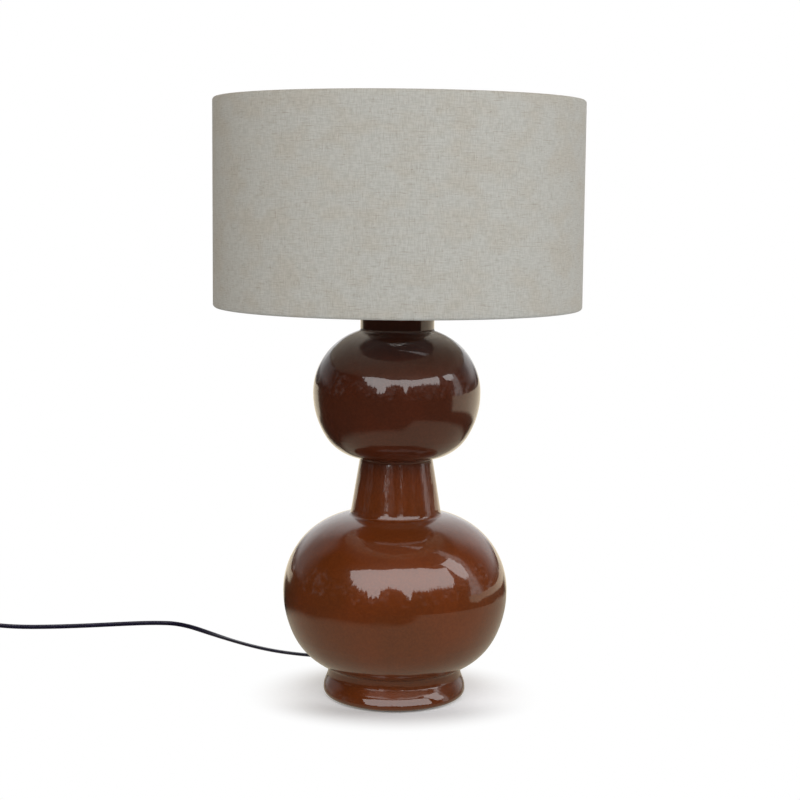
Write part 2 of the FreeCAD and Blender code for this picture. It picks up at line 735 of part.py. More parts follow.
def make_grub_screw():
    """Short screw through the cap's boss that bears on the tube."""
    body = new_body("grub_screw")
    sketch = new_sketch(body, "round", "YZ_Plane", lift=dim("tube_radius"))
    draw_circle(sketch, 0, grub_height(), dim("grub_screw_radius"))
    length = dim("holder_radius") - dim("tube_radius") - 4.0
    pad(body, sketch, length)
    slot = new_sketch(body, "slot", "YZ_Plane", lift=dim("tube_radius") + length)
    half = dim("grub_screw_radius")
    draw_outline(slot, rectangle(-half - 1.0, half + 1.0, grub_height() - 0.3, grub_height() + 0.3))
    pocket(body, slot, 1.0, name="slot_cut")
    return body


def make_lampholder_shell():
    """Upper half of the lampholder: a spigot in the cap, a collar and the part for the ring nuts."""
    radius, inner = dim("shell_radius"), dim("shell_bore")
    spigot = dim("holder_radius") - dim("holder_wall")
    collar = CAP_RIM + dim("shell_collar")
    low = CAP_RIM - dim("holder_spigot")
    return turned("lampholder_shell", [
        (dim("ledge_bore"), low), (spigot, low),
        (spigot, CAP_RIM), (dim("holder_radius"), CAP_RIM),
        (dim("holder_radius"), collar),
        (radius, collar + 0.6), (radius, SHELL_TOP - 1.2, 1.2, "left"),
        (radius - 1.2, SHELL_TOP), (inner, SHELL_TOP),
        (inner, LEDGE), (dim("ledge_bore"), LEDGE),
    ])


def make_lampholder_insert():
    """Porcelain cup that stands on the shell's ledge and holds the contacts."""
    radius = dim("shell_bore") - dim("insert_clearance")
    high = LEDGE + dim("insert_height")
    return turned("lampholder_insert", [
        (dim("contact_rivet_radius"), LEDGE), (radius, LEDGE), (radius, high),
        (dim("insert_bore"), high), (dim("insert_bore"), INSERT_FLOOR),
        (dim("contact_rivet_radius"), INSERT_FLOOR),
    ])


def make_screw_contact():
    """Brass screw shell with its turned-in foot."""
    outer, wall = dim("insert_bore"), dim("screw_shell_wall")
    low = INSERT_FLOOR
    return turned("screw_contact", [
        (outer - 4.0, low), (outer, low), (outer, low + dim("screw_shell_height")),
        (outer - wall, low + dim("screw_shell_height")), (outer - wall, low + wall),
        (outer - 4.0, low + wall),
    ])


def make_centre_contact():
    """Rivet through the insert's base, its head under the bulb."""
    head, rivet = dim("contact_radius"), dim("contact_rivet_radius")
    return turned("centre_contact", [
        (0, LEDGE - 1.0), (rivet + 1.0, LEDGE - 1.0), (rivet + 1.0, LEDGE),
        (rivet, LEDGE), (rivet, INSERT_FLOOR), (head, INSERT_FLOOR),
        (head, INSERT_FLOOR + dim("contact_head")), (0, INSERT_FLOOR + dim("contact_head")),
    ])


def make_terminals():
    """Two brass blocks under the insert, and the two screws that hold the cores in them."""
    size, offset = dim("terminal_size"), dim("terminal_offset")
    low = LEDGE - size
    hole = dim("core_radius")
    blocks = new_body("terminal_blocks")
    sketch = new_sketch(blocks, "blocks", "XY_Plane", lift=low)
    for side in (1, -1):
        middle = offset * side
        draw_outline(sketch, rectangle(middle - size / 2, middle + size / 2, -size / 2, size / 2))
        draw_circle(sketch, middle, 0, hole)
    pad(blocks, sketch, size)
    bores = new_sketch(blocks, "screw_holes", "XZ_Plane")
    for side in (1, -1):
        draw_circle(bores, offset * side, low + size * 0.7, dim("terminal_screw_radius"))
    pocket(blocks, bores, size, name="screw_hole_cut", upwards=True)
    screws = new_body("terminal_screws")
    rounds = new_sketch(screws, "rounds", "XZ_Plane", lift=hole)
    for side in (1, -1):
        draw_circle(rounds, offset * side, low + size * 0.7, dim("terminal_screw_radius"))
    pad(screws, rounds, size / 2 - hole + 1.0)
    return [blocks, screws]


def make_ring_nut(name, low, clearance):
    """Ring nut on the lampholder's shell, with finger grooves round its rim."""
    radius, height = dim("ring_nut_radius"), dim("ring_nut_height")
    bore = dim("shell_radius") + clearance
    body = new_body(name)
    sketch = new_sketch(body, "profile")
    draw_outline(sketch, [
        (bore, low), (radius, low), (radius, low + height - 1.0),
        (radius - 1.0, low + height), (bore, low + height),
    ])
    revolve(body, sketch)
    notch = new_sketch(body, "groove", "XY_Plane", lift=low + height + 1.0)
    draw_circle(notch, radius + dim("ring_nut_groove_radius") * 0.4, 0,
                dim("ring_nut_groove_radius"))
    cut = pocket(body, notch, height + 2.0, name="groove_cut")
    polar(body, cut, dim("ring_nut_grooves"))
    return body


def make_lampholder():
    """The lampholder's own pieces and the two ring nuts on it."""
    return [
        make_lampholder_cap(),
        make_grub_screw(),
        make_lampholder_shell(),
        make_lampholder_insert(),
        make_screw_contact(),
        make_centre_contact(),
        *make_terminals(),
        make_ring_nut("ring_nut_lower", SEAT - dim("ring_nut_height"), as_size(0)),
        make_ring_nut("ring_nut_upper", SEAT + dim("spider_ring_thickness"),
                      dim("nut_running_clearance")),
    ]


# ---------------------------------------------------------------- bulb

def make_bulb():
    """Globe bulb with its screw cap, contact, stem and filament."""
    return [
        make_bulb_glass(),
        make_bulb_cap(),
        make_bulb_insulator(),
        make_bulb_contact(),
        make_bulb_stem(),
        make_bulb_filament(),
    ]


def make_bulb_glass():
    """Blown envelope: a neck, a flare and a globe, open where the cap is cemented on."""
    globe, wall, neck = dim("bulb_radius"), dim("bulb_glass_wall"), dim("bulb_neck_radius")
    centre = BULB_FOOT + dim("bulb_length") - globe
    angle = dim("bulb_flare_angle")
    knee = BULB_FOOT + dim("bulb_neck_height")
    mouth = BULB_FOOT + bulb_cap_foot() + dim("bulb_cap_height")
    side, fall = globe * cosine(angle), centre - globe * sine(angle)
    flare = root((side - neck) * (side - neck) + (fall - knee) * (fall - knee)) / (
        2 * sine(angle / 2))
    inner = globe - wall
    return turned("bulb_glass", [
        (neck - wall, mouth), (neck, mouth), (neck, knee, flare, "right"),
        (side, fall, globe, "left"), (globe, centre, globe, "left"),
        (0, centre + globe), (0, centre + inner, inner, "right"),
        (inner, centre, inner, "right"),
        (inner * cosine(angle), centre - inner * sine(angle), flare + wall, "left"),
        (neck - wall, knee),
    ])


def bulb_cap_foot():
    """Foot of the metal cap above the bulb's contact."""
    return dim("bulb_contact_height") + dim("bulb_insulator_height")


def make_bulb_cap():
    """Metal screw cap, its thread drawn as a plain cylinder of the thread's size."""
    radius = dim("insert_bore") - dim("screw_shell_wall") - dim("bulb_cap_clearance")
    wall = dim("bulb_cap_wall")
    low = BULB_FOOT + bulb_cap_foot()
    high = low + dim("bulb_cap_height")
    return turned("bulb_cap", [
        (radius - 3.0, low), (radius - 1.0, low), (radius, low + 1.0), (radius, high),
        (radius - wall, high), (radius - wall, low + 1.5), (radius - 3.0, low + wall),
    ])


def make_bulb_insulator():
    """Black glass cone between the cap and the contact."""
    radius = dim("insert_bore") - dim("screw_shell_wall") - dim("bulb_cap_clearance") - 3.0
    low = BULB_FOOT + dim("bulb_contact_height")
    high = low + dim("bulb_insulator_height")
    return turned("bulb_insulator", [
        (0, low), (dim("bulb_contact_radius") + 0.5, low), (radius, high), (0, high),
    ])


def make_bulb_contact():
    """Solder contact at the bulb's foot."""
    radius, height = dim("bulb_contact_radius"), dim("bulb_contact_height")
    return turned("bulb_contact", [
        (0, BULB_FOOT), (radius - height, BULB_FOOT, height, "left"),
        (radius, BULB_FOOT + height), (0, BULB_FOOT + height),
    ])


def make_bulb_stem():
    """Glass stem, flared where it is sealed into the neck, with two lead wires."""
    foot = BULB_FOOT + bulb_cap_foot() + dim("bulb_cap_height") - 3.0
    neck = dim("bulb_neck_radius") - dim("bulb_glass_wall") - 0.3
    stem, top = dim("stem_radius"), foot + dim("stem_height")
    body = turned("bulb_stem", [
        (0, foot), (neck, foot), (neck, foot + 1.5), (stem, foot + 9.0), (stem, top - 2.0),
        (stem - 2.0, top), (0, top),
    ])
    wires = new_sketch(body, "wires", "XY_Plane", lift=foot + dim("stem_height") - 3.0)
    for side in (1, -1):
        draw_circle(wires, (stem - 1.2) * side, 0, 0.5)
    pad(body, wires, filament_height() - top + 3.0, name="wire_pad")
    return body


def filament_height():
    """Height of the filament's ring."""
    return BULB_FOOT + dim("bulb_length") - dim("bulb_radius")


def make_bulb_filament():
    """Coiled filament strung in an arc between the two lead wires."""
    stem = dim("stem_radius").value - 1.2
    radius = dim("filament_radius").value
    height = filament_height().value + 0.5
    start = Vector(-stem, 0, height)
    top = Vector(0, 0, height + radius)
    end = Vector(stem, 0, height)
    left = Vector(-radius * 0.8, 0, height + radius * 0.45)
    right = Vector(radius * 0.8, 0, height + radius * 0.45)
    path = Part.Wire([Part.Arc(start, left, top).toShape(), Part.Arc(top, right, end).toShape()])
    return solid_feature("bulb_filament", tube_along(path, 0.5))


# ---------------------------------------------------------------- shade

SHADE_FOOT = SEAT - dim("spider_recess")
SHADE_TOP = SHADE_FOOT + dim("shade_height")
LINER_OUTER = dim("shade_radius") - dim("linen_thickness")
LINER_INNER = LINER_OUTER - dim("liner_thickness")
WIRE = dim("wire_radius")
WIRE_RING = LINER_INNER - WIRE
ROLL = dim("shade_radius") - WIRE_RING
WIRE_LOW = SHADE_FOOT + ROLL
WIRE_HIGH = SHADE_TOP - ROLL


def make_wire_ring(name, height):
    """Steel wire ring inside the liner's edge."""
    wire_ring = doc.addObject("Part::Torus", name)
    wire_ring.Label = name
    wire_ring.setExpression("Radius1", WIRE_RING.text)
    wire_ring.setExpression("Radius2", WIRE.text)
    wire_ring.setExpression("Placement.Base.z", height.text)
    return wire_ring


def make_spider():
    """Arms on a plain disc: they slope down from it to the lower wire ring. The disc is cut off."""
    outer, thick = dim("spider_ring_radius"), dim("spider_ring_thickness")
    level = SEAT + thick / 2
    body = new_body("spider_blank")
    plate = new_sketch(body, "plate")
    draw_outline(plate, rectangle(0, outer, SEAT, SEAT + thick))
    revolve(body, plate)
    path = new_sketch(body, "arm_path")
    draw_arm_path(path, outer - WIRE, level)
    round_bar = new_sketch(body, "arm_round", "YZ_Plane", lift=outer - WIRE)
    draw_circle(round_bar, 0, level, WIRE)
    arm = body.newObject("PartDesign::AdditivePipe", "spider_arm")
    arm.Profile = round_bar
    arm.Spine = (path, [])
    doc.recompute()
    polar(body, arm, dim("spider_arms"))
    body.Placement = Placement(Vector(), Rotation(Vector(0, 0, 1), 90))
    return body


def draw_arm_path(sketch, start, level):
    """Open path of an arm: level, a bend, then down to the axis of the lower ring's wire."""
    flat, bend = dim("spider_flat"), dim("spider_bend")
    run, fall = WIRE_RING - flat, level - WIRE_LOW
    length = root(run * run + fall * fall)
    along_x, along_y = run / length, fall / length
    back = bend * along_y / (1 + along_x)
    points = [
        (start, level),
        (flat - back, level),
        (flat + back * along_x, level - back * along_y),
        (WIRE_RING, WIRE_LOW),
    ]
    vectors = [Vector(x.value, y.value, 0) for x, y in points]
    first = sketch.addGeometry(Part.LineSegment(vectors[0], vectors[1]))
    turn = sketch.addGeometry(arc_between(vectors[1], vectors[2], bend.value, False))
    last = sketch.addGeometry(Part.LineSegment(vectors[2], vectors[3]))
    tie = sketch.addConstraint(Sketcher.Constraint("Radius", turn, bend.value))
    sketch.setExpression(f"Constraints[{tie}]", bend.text)
    sketch.addConstraint(Sketcher.Constraint("Coincident", first, 2, turn, 2))
    sketch.addConstraint(Sketcher.Constraint("Coincident", turn, 1, last, 1))
    for geometry, end, point in ((first, 1, 0), (first, 2, 1), (last, 1, 2), (last, 2, 3)):
        pin_point(sketch, geometry, end, *points[point])


def make_hem(name, height, up):
    """Linen rolled round a wire ring in even folds, from the shade's outside over its edge."""
    inner, folds = WIRE + dim("hem_gap"), int(dim("hem_folds").value)
    side = 1 if up else -1
    corners = []
    for radius, order in ((ROLL, range(folds + 1)), (inner, range(folds, -1, -1))):
        for fold in order:
            turn = dim("hem_turn") * (fold / folds)
            corners.append((WIRE_RING + radius * cosine(turn), height + radius * sine(turn) * side))
    return turned(name, corners)


def make_linen():
    """Drum of linen, with the overlap where its two ends meet at the back."""
    radius, thick = dim("shade_radius"), dim("linen_thickness")
    body = new_body("shade_linen")
    sketch = new_sketch(body, "profile")
    draw_outline(sketch, rectangle(radius - thick, radius, WIRE_LOW, WIRE_HIGH))
    revolve(body, sketch)
    seam = new_sketch(body, "seam", "YZ_Plane")
    draw_outline(seam, rectangle(radius - thick / 2, radius + dim("seam_thickness"),
                                 WIRE_LOW + 0.5, WIRE_HIGH - 0.5))
    width = math.degrees(dim("seam_width").value / radius.value)
    revolve(body, seam, name="Overlap", angle=width)
    return body


def cut_by(name, base, tools):
    """The base with each tool cut away in turn, under the sub-part's name."""
    for number, tool in enumerate(tools, start=1):
        cut = doc.addObject("Part::Cut", name if number == len(tools) else f"{name}_cut_{number}")
        cut.Base = base
        cut.Tool = tool
        base = cut
    base.Label = name
    doc.recompute()
    return base


def make_arm_slit(number):
    """Space that an arm takes through the rolled hem: a round hole along its slope."""
    run = WIRE_RING.value - dim("spider_flat").value
    fall = SEAT.value + dim("spider_ring_thickness").value / 2 - WIRE_LOW.value
    along = Vector(run, 0, -fall).normalize()
    start = Vector(WIRE_RING.value, 0, WIRE_LOW.value) - along * 12
    slit = doc.addObject("Part::Cylinder", f"arm_slit_{number}")
    slit.setExpression("Radius", (WIRE + 0.3).text)
    slit.Height = 12
    turn = Rotation(Vector(0, 0, 1), 90 + 360 * number / dim("spider_arms").value)
    slit.Placement = Placement(turn.multVec(start), turn * Rotation(Vector(0, 0, 1), along))
    return slit


def make_shade():
    """Drum shade: liner, linen, two wire rings, two rolled hems, the spider's ring and its arms."""
    low_ring = make_wire_ring("shade_ring_bottom", WIRE_LOW)
    high_ring = make_wire_ring("shade_ring_top", WIRE_HIGH)
    blank = make_spider()
    doc.recompute()
    trim = make_wire_ring("spider_trim", WIRE_LOW)
    thick = dim("spider_ring_thickness")
    disc = ring("spider_disc", as_size(0), dim("spider_ring_radius"), SEAT, SEAT + thick)
    spider = cut_by("shade_spider", blank, [trim, disc])
    roll = make_hem("bottom_roll", WIRE_LOW, up=False)
    slits = [make_arm_slit(number) for number in range(int(dim("spider_arms").value))]
    return [
        ring("shade_liner", LINER_INNER, LINER_OUTER, WIRE_LOW, WIRE_HIGH),
        make_linen(),
        low_ring,
        high_ring,
        cut_by("shade_hem_bottom", roll, slits),
        make_hem("shade_hem_top", WIRE_HIGH, up=True),
        ring("spider_ring", dim("shell_radius") + dim("spider_hole_clearance"),
             dim("spider_ring_radius"), SEAT, SEAT + thick),
        spider,
    ]


# ---------------------------------------------------------------- cord

CORD = dim("cord_width") / 2
COIL_LOW = dim("tie_thickness") + dim("tie_lift") + CORD
OUTWARD = Vector(math.cos(math.radians(dim("exit_angle").value)),
                 math.sin(math.radians(dim("exit_angle").value)), 0)
GLAND_TOP = dim("exit_height") + dim("gland_flange_radius")
GLAND_SEAT = (dim("recess_radius") - dim("gland_clearance")
              - dim("recess_draft") * (GLAND_TOP - dim("felt_thickness"))
              / (dim("floor_height") - dim("felt_thickness")))
GLAND_OUTER = dim("foot_flat_radius") + dim("foot_round")
GLAND_TIP = GLAND_OUTER + dim("gland_flange") + dim("relief_length")


def tube_along(path, radius):
    """A round tube swept along a wire."""
    start = path.OrderedVertexes[0].Point
    first = path.OrderedEdges[0]
    parameter = first.FirstParameter
    if first.valueAt(parameter).distanceToPoint(start) > 1e-6:
        parameter = first.LastParameter
    section = Part.Wire([Part.Circle(start, first.tangentAt(parameter), radius).toShape()])
    return path.makePipeShell([section], True, False)


def route_path(name, points):
    """Straight runs joined by tangent arcs, each as large as its two runs allow."""
    points = [Vector(*point) for point in points]
    edges, here, radii = [], points[0], []
    for before, corner, after in zip(points, points[1:], points[2:]):
        run_in, run_out = corner - before, after - corner
        turn = run_in.getAngle(run_out)
        shorter = min(run_in.Length, run_out.Length)
        tangent = 0.45 * shorter
        radii.append(tangent / math.tan(turn / 2))
        to_corner, from_corner = Vector(run_in).normalize(), Vector(run_out).normalize()
        enter = corner - to_corner * tangent
        leave = corner + from_corner * tangent
        sagitta = radii[-1] * (1 / math.cos(turn / 2) - 1)
        middle = corner + (from_corner - to_corner).normalize() * sagitta
        edges.append(Part.LineSegment(here, enter).toShape())
        edges.append(Part.Arc(enter, middle, leave).toShape())
        here = leave
    edges.append(Part.LineSegment(here, points[-1]).toShape())
    print(name, "bend radii, mm:", [round(radius) for radius in radii])
    return Part.Wire(edges)


def make_cord(name, points):
    """A free stretch of the cord."""
    path = route_path(name, points)
    shape = tube_along(path, CORD.value)
    ratio = shape.Volume / (math.pi * CORD.value ** 2 * path.Length)
    print(name, "length, mm:", round(path.Length, 1), "volume against section and length:", round(ratio, 4))
    return solid_feature(name, shape)


def coil_point(turns):
    """Axis of the coil after a number of turns, from the start of its outer turn: in, up and out."""
    layer, pitch = dim("coil_turns").value, dim("coil_pitch").value
    radius = dim("coil_outer_radius").value - pitch * min(turns, 2 * layer + 0.5 - turns)
    climb = min(max((turns - layer) / 0.5, 0.0), 1.0)
    smooth = climb * climb * (3 - 2 * climb)
    way = Rotation(Vector(0, 0, 1), 90 + 360 * turns).multVec(Vector(radius, 0, 0))
    return Vector(*COIL_CENTRE, COIL_LOW.value + pitch * smooth) + way


def coil_ends():
    """Where the cord enters and leaves the coil, one diameter straight on from the turns."""
    straight = Vector(-dim("cord_width").value, 0, 0)
    return coil_point(0.0) - straight, coil_point(2 * dim("coil_turns").value + 0.5) + straight


def coil_tangent(turns):
    """Direction of the coil's axis after a number of turns."""
    step = 1e-4
    last = 2 * dim("coil_turns").value + 0.5
    before, after = max(turns - step, 0.0), min(turns + step, last)
    tangent = coil_point(after) - coil_point(before)
    if turns in (0.0, last):
        tangent = Vector(-1, 0, 0)
    return tangent.normalize()


def tangent_arc(start, meeting, end):
    """The arc from start to end whose tangents meet at a point."""
    middle = (start + end) * 0.5
    half = (end - start).Length / 2
    reach = (meeting - start).Length
    bow = half * math.tan(0.5 * math.acos(min(half / reach, 1.0)))
    return Part.Arc(start, middle + (meeting - middle).normalize() * bow, end).toShape()


def biarc(start, start_way, end, end_way):
    """Two arcs that join two points along their given directions."""
    span = end - start
    both = start_way + end_way
    spread = 2 * (1 - start_way.dot(end_way))
    along = span.dot(both)
    reach = (-along + math.sqrt(along * along + spread * span.dot(span))) / spread
    first, second = start + start_way * reach, end - end_way * reach
    joint = (first + second) * 0.5
    return [tangent_arc(start, first, joint), tangent_arc(joint, second, end)]


def make_coil():
    """Spare cord wound in two layers: a spiral in, a climb and a spiral out, as one tube."""
    quarter_turns = int(round(8 * dim("coil_turns").value)) + 2
    stops = [number / 4 for number in range(quarter_turns + 1)]
    enter, leave = coil_ends()
    edges = [Part.LineSegment(enter, coil_point(stops[0])).toShape()]
    for before, after in zip(stops, stops[1:]):
        edges += biarc(coil_point(before), coil_tangent(before), coil_point(after), coil_tangent(after))
    edges.append(Part.LineSegment(coil_point(stops[-1]), leave).toShape())
    path = Part.Wire(edges)
    shape = tube_along(path, CORD.value)
    print("cord_coil length, mm:", round(path.Length, 1), "least gap to itself, mm:",
          round(least_gap(stops[-1]), 2))
    return solid_feature("cord_coil", shape)


def least_gap(turns):
    """Least gap between turns of the coil, measured on points of its axis."""
    per_turn = 48
    count = int(turns * per_turn)
    points = [coil_point(number / per_turn) for number in range(count + 1)]
    apart = per_turn // 2
    nearest = min((a - b).Length for index, a in enumerate(points) for b in points[index + apart:])
    return nearest - dim("cord_width").value


def make_coil_tie():
    """Band that holds the coil together, closed round all its turns on one side."""
    sheet, width, pitch = dim("tie_thickness"), dim("tie_width"), dim("coil_pitch")
    spread = pitch * 2 + dim("cord_width") + dim("tie_clearance") * 2
    rise = pitch + dim("cord_width") + dim("tie_lift") * 2
    body = new_body("coil_tie")
    sketch = new_sketch(body, "band", "XZ_Plane")
    draw_outline(sketch, rounded_rectangle(spread + sheet * 2, rise + sheet * 2, 2.0 + sheet))
    draw_outline(sketch, rounded_rectangle(spread, rise, as_size(2.0)))
    pad(body, sketch, width, midplane=True)
    turn = Rotation(Vector(0, 0, 1), dim("tie_angle").value)
    middle = dim("coil_outer_radius") - pitch * 1.5
    height = rise / 2 + sheet
    body.Placement = Placement(
        Vector(*COIL_CENTRE, height.value) + turn.multVec(Vector(middle.value, 0, 0)), turn)
    return body


def gland_tip():
    """Where the cord leaves the strain relief."""
    return OUTWARD * GLAND_TIP.value + Vector(0, 0, dim("exit_height").value)


def switch_end(side):
    """Where the cord meets the switch: side 1 towards the lamp, -1 towards the plug."""
    reach = dim("switch_length").value / 2
    return Vector(*SWITCH_CENTRE, dim("switch_cord_height").value) + Vector(reach * side, 0, 0)


def relief_end():
    """Where the cord meets the plug's strain relief."""
    return Vector(*PLUG_PLACE) + Vector(0, dim("plug_length").value + dim("plug_relief").value, 0)


def make_inner_lead():
    """Lead inside the lamp: in through the gland, up the tube and into the lampholder."""
    height, bend = dim("exit_height").value, dim("lead_bend").value
    enter = OUTWARD * bend + Vector(0, 0, height)
    leave = Vector(0, 0, height + bend)
    middle = leave + OUTWARD * bend - (OUTWARD + Vector(0, 0, 1)).normalize() * bend
    top = Vector(0, 0, TUBE_TOP.value + 1.5)
    path = Part.Wire([
        Part.LineSegment(gland_tip(), enter).toShape(),
        Part.Arc(enter, middle, leave).toShape(),
        Part.LineSegment(leave, top).toShape(),
    ])
    return solid_feature("inner_lead", tube_along(path, CORD.value))


def make_lead_cores():
    """The two cores from the end of the lead to the terminal blocks."""
    size, offset, radius = dim("terminal_size").value, dim("terminal_offset").value, dim("core_radius").value
    start_height = TUBE_TOP.value + 1.5 + radius / 2
    end_height = LEDGE.value - size * 0.3
    solids = []
    for side in (1, -1):
        low = Vector(1.3 * side, 0, start_height)
        high = Vector(offset * side, 0, end_height)
        climb = (end_height - start_height) * 0.45
        edges = biarc(low, Vector(side * 0.5, 0, 1).normalize(), high - Vector(0, 0, climb),
                      Vector(0, 0, 1))
        edges.append(Part.LineSegment(high - Vector(0, 0, climb), high).toShape())
        solids.append(tube_along(Part.Wire(edges), radius))
    return solid_feature("lead_cores", Part.Compound(solids))


def make_gland():
    """Rubber gland in the foot: a flange on each side of the wall and a tapered strain relief."""
    bore, neck, flange = CORD, dim("gland_radius"), dim("gland_flange_radius")
    thick, seat, outer = dim("gland_flange"), GLAND_SEAT, GLAND_OUTER
    rooted, tip = dim("relief_root_radius"), dim("relief_tip_radius")
    start = outer + thick
    body = turned("cord_gland", [
        (bore, seat - thick), (flange, seat - thick), (flange, seat), (neck, seat),
        (neck, outer), (flange, outer), (flange, start - 0.6), (flange - 0.6, start),
        (rooted, start), (tip, GLAND_TIP), (bore, GLAND_TIP),
    ])
    rings = new_sketch(body, "ribs")
    rib, count = dim("relief_length") / 9, 4
    for number in range(count):
        low = start + rib * (1.5 + 2 * number)
        shrink = (rooted - tip) * ((1.5 + 2 * number) / 9)
        draw_outline(rings, rectangle(rooted - shrink - 1.1, rooted + 1.0, low, low + rib))
    groove(body, rings, name="ribs_cut")
    body.Placement = Placement(Vector(0, 0, dim("exit_height").value), Rotation(Vector(0, 0, 1), OUTWARD))
    return body


# ---------------------------------------------------------------- hand switch

def switch_outline(inset):
    """Outline of the switch seen from above, moved in by a wall, with shoulders that run smoothly
    into its straight sides."""
    length, width, waist = dim("switch_length") / 2, dim("switch_width") / 2, dim("switch_waist") / 2
    run, fall = length - waist, width - dim("switch_end_width") / 2
    shoulder = (run * run + fall * fall) / (fall * 2)
    end, side, arc = length - inset, width - inset, shoulder - inset
    tip = width - shoulder + root(arc * arc - (end - waist) * (end - waist))
    return [
        (end, -tip), (end, tip, arc, "left"), (waist, side), (-waist, side, arc, "left"),
        (-end, tip), (-end, -tip, arc, "left"), (-waist, -side), (waist, -side, arc, "left"),
    ]


def screw_spots():
    """Places of the two screws, on a diagonal of the switch."""
    x, y = dim("switch_screw_x"), dim("switch_screw_y")
    return [(x, y), (-x, -y)]


def edges_at(shape, height):
    """Names of the edges that lie at a height."""
    def level(edge):
        box = edge.BoundBox
        return abs(box.ZMin - height.value) < 1e-4 and abs(box.ZMax - height.value) < 1e-4
    return edges_where(shape, level)


def place_on_table(body):
    """Puts a piece of the switch where the cord passes through it."""
    body.Placement = Placement(Vector(*SWITCH_CENTRE, 0), Rotation())


def make_switch_base():
    """Lower half of the switch, with two screw bosses."""
    wall, height = dim("switch_wall"), dim("switch_base_height")
    body = new_body("switch_base")
    outline = new_sketch(body, "outline", "XY_Plane")
    draw_outline(outline, switch_outline(as_size(0)))
    block = pad(body, outline, height)
    rounded = fillet(body, block, edges_at(block.Shape, as_size(0)), dim("switch_edge"))
    hollow = new_sketch(body, "hollow", "XY_Plane", lift=height)
    draw_outline(hollow, switch_outline(wall))
    pocket(body, hollow, height - wall)
    bosses = new_sketch(body, "bosses", "XY_Plane", lift=wall)
    for x, y in screw_spots():
        draw_circle(bosses, x, y, dim("switch_boss_radius"))
    pad(body, bosses, height - wall, name="boss_pad")
    holes = new_sketch(body, "screw_holes", "XY_Plane")
    for x, y in screw_spots():
        draw_circle(holes, x, y, dim("switch_screw_radius"))
    pocket(body, holes, height, name="screw_hole_cut", upwards=True)
    place_on_table(body)
    return body


def make_switch_cover():
    """Upper half of the switch: a window for the rocker, two ears for its pin and two bosses."""
    wall, low = dim("switch_wall"), dim("switch_base_height")
    height = dim("switch_cover_height")
    top = low + height
    body = new_body("switch_cover")
    outline = new_sketch(body, "outline", "XY_Plane", lift=low)
    draw_outline(outline, switch_outline(as_size(0)))
    block = pad(body, outline, height)
    fillet(body, block, edges_at(block.Shape, top), dim("switch_edge"))
    hollow = new_sketch(body, "hollow", "XY_Plane", lift=low)
    draw_outline(hollow, switch_outline(wall))
    pocket(body, hollow, height - wall, upwards=True)
    gap = dim("rocker_clearance")
    half_x, half_y = dim("rocker_radius") + gap, dim("rocker_width") / 2 + gap
    window = new_sketch(body, "window", "XY_Plane", lift=top)
    draw_outline(window, rectangle(-half_x, half_x, -half_y, half_y))
    pocket(body, window, wall, name="window_cut")
    ears = new_sketch(body, "ears", "XY_Plane", lift=top - wall)
    for side in (1, -1):
        near, far = half_y * side, (half_y + wall) * side
        draw_outline(ears, rectangle(as_size(-3.0), as_size(3.0), *sorted((near, far), key=lambda y: y.value)))
    ear_pad = pad(body, ears, top - wall - dim("rocker_height") + 2.5, name="ear_pad")
    ear_pad.Reversed = True
    bosses = new_sketch(body, "bosses", "XY_Plane", lift=low)
    for x, y in screw_spots():
        draw_circle(bosses, x, y, dim("switch_boss_radius"))
    pad(body, bosses, height - wall, name="boss_pad")
    holes = new_sketch(body, "screw_holes", "XY_Plane", lift=low)
    for x, y in screw_spots():
        draw_circle(holes, x, y, dim("switch_screw_radius"))
    pocket(body, holes, height - wall - 1.0, name="screw_hole_cut", upwards=True)
    pin_hole = new_sketch(body, "pin_hole", "XZ_Plane")
    draw_circle(pin_hole, 0, dim("rocker_height"), dim("rocker_pin_radius"))
    pocket(body, pin_hole, (half_y + wall) * 2, name="pin_hole_cut", midplane=True)
    place_on_table(body)
    return body


def make_rocker():
    """Rocker with curved ends about its pivot and a dished top, tilted to off."""
    radius, width = dim("rocker_radius"), dim("rocker_width")
    high, low = as_size(20.0), as_size(15.0)
    body = new_body("switch_rocker")
    sketch = new_sketch(body, "side", "XZ_Plane")
    draw_outline(sketch, [
        (radius * cosine(low), -radius * sine(low), radius, "left"),
        (radius * cosine(high), radius * sine(high), radius * 4, "right"),
        (-radius * cosine(high), radius * sine(high), radius, "left"),
        (-radius * cosine(low), -radius * sine(low)),
        (-radius * 0.45, -radius * 0.45), (radius * 0.45, -radius * 0.45),
    ])
    draw_circle(sketch, 0, 0, dim("rocker_pin_radius") + dim("pin_clearance"))
    pad(body, sketch, width, midplane=True)
    tilt = Rotation(Vector(0, 1, 0), dim("rocker_tilt").value)
    body.Placement = Placement(Vector(*SWITCH_CENTRE, dim("rocker_height").value), tilt)
    return body


def make_switch_small_parts():
    """Pivot pin, screws and the two brass terminals of the switch."""
    half = dim("rocker_width") / 2 + dim("rocker_clearance") + dim("switch_wall")
    pin = new_body("switch_pin")
    pin_round = new_sketch(pin, "round", "XZ_Plane")
    draw_circle(pin_round, 0, dim("rocker_height"), dim("rocker_pin_radius"))
    pad(pin, pin_round, half * 2, midplane=True)
    screws = new_body("switch_screws")
    heads = new_sketch(screws, "rounds", "XY_Plane", lift=as_size(0.4))
    for x, y in screw_spots():
        draw_circle(heads, x, y, dim("switch_screw_radius"))
    pad(screws, heads, dim("switch_base_height") + dim("switch_cover_height") / 2)
    terminals = new_body("switch_terminals")
    blocks = new_sketch(terminals, "blocks", "XY_Plane", lift=dim("switch_wall"))
    for side in (1, -1):
        middle = dim("switch_screw_x") * side
        y = -3.0 * side
        draw_outline(blocks, rectangle(middle - 4.0, middle + 4.0, as_size(y - 2.5), as_size(y + 2.5)))
    pad(terminals, blocks, 5.0)
    for body in (pin, screws, terminals):
        place_on_table(body)
    return [pin, screws, terminals]


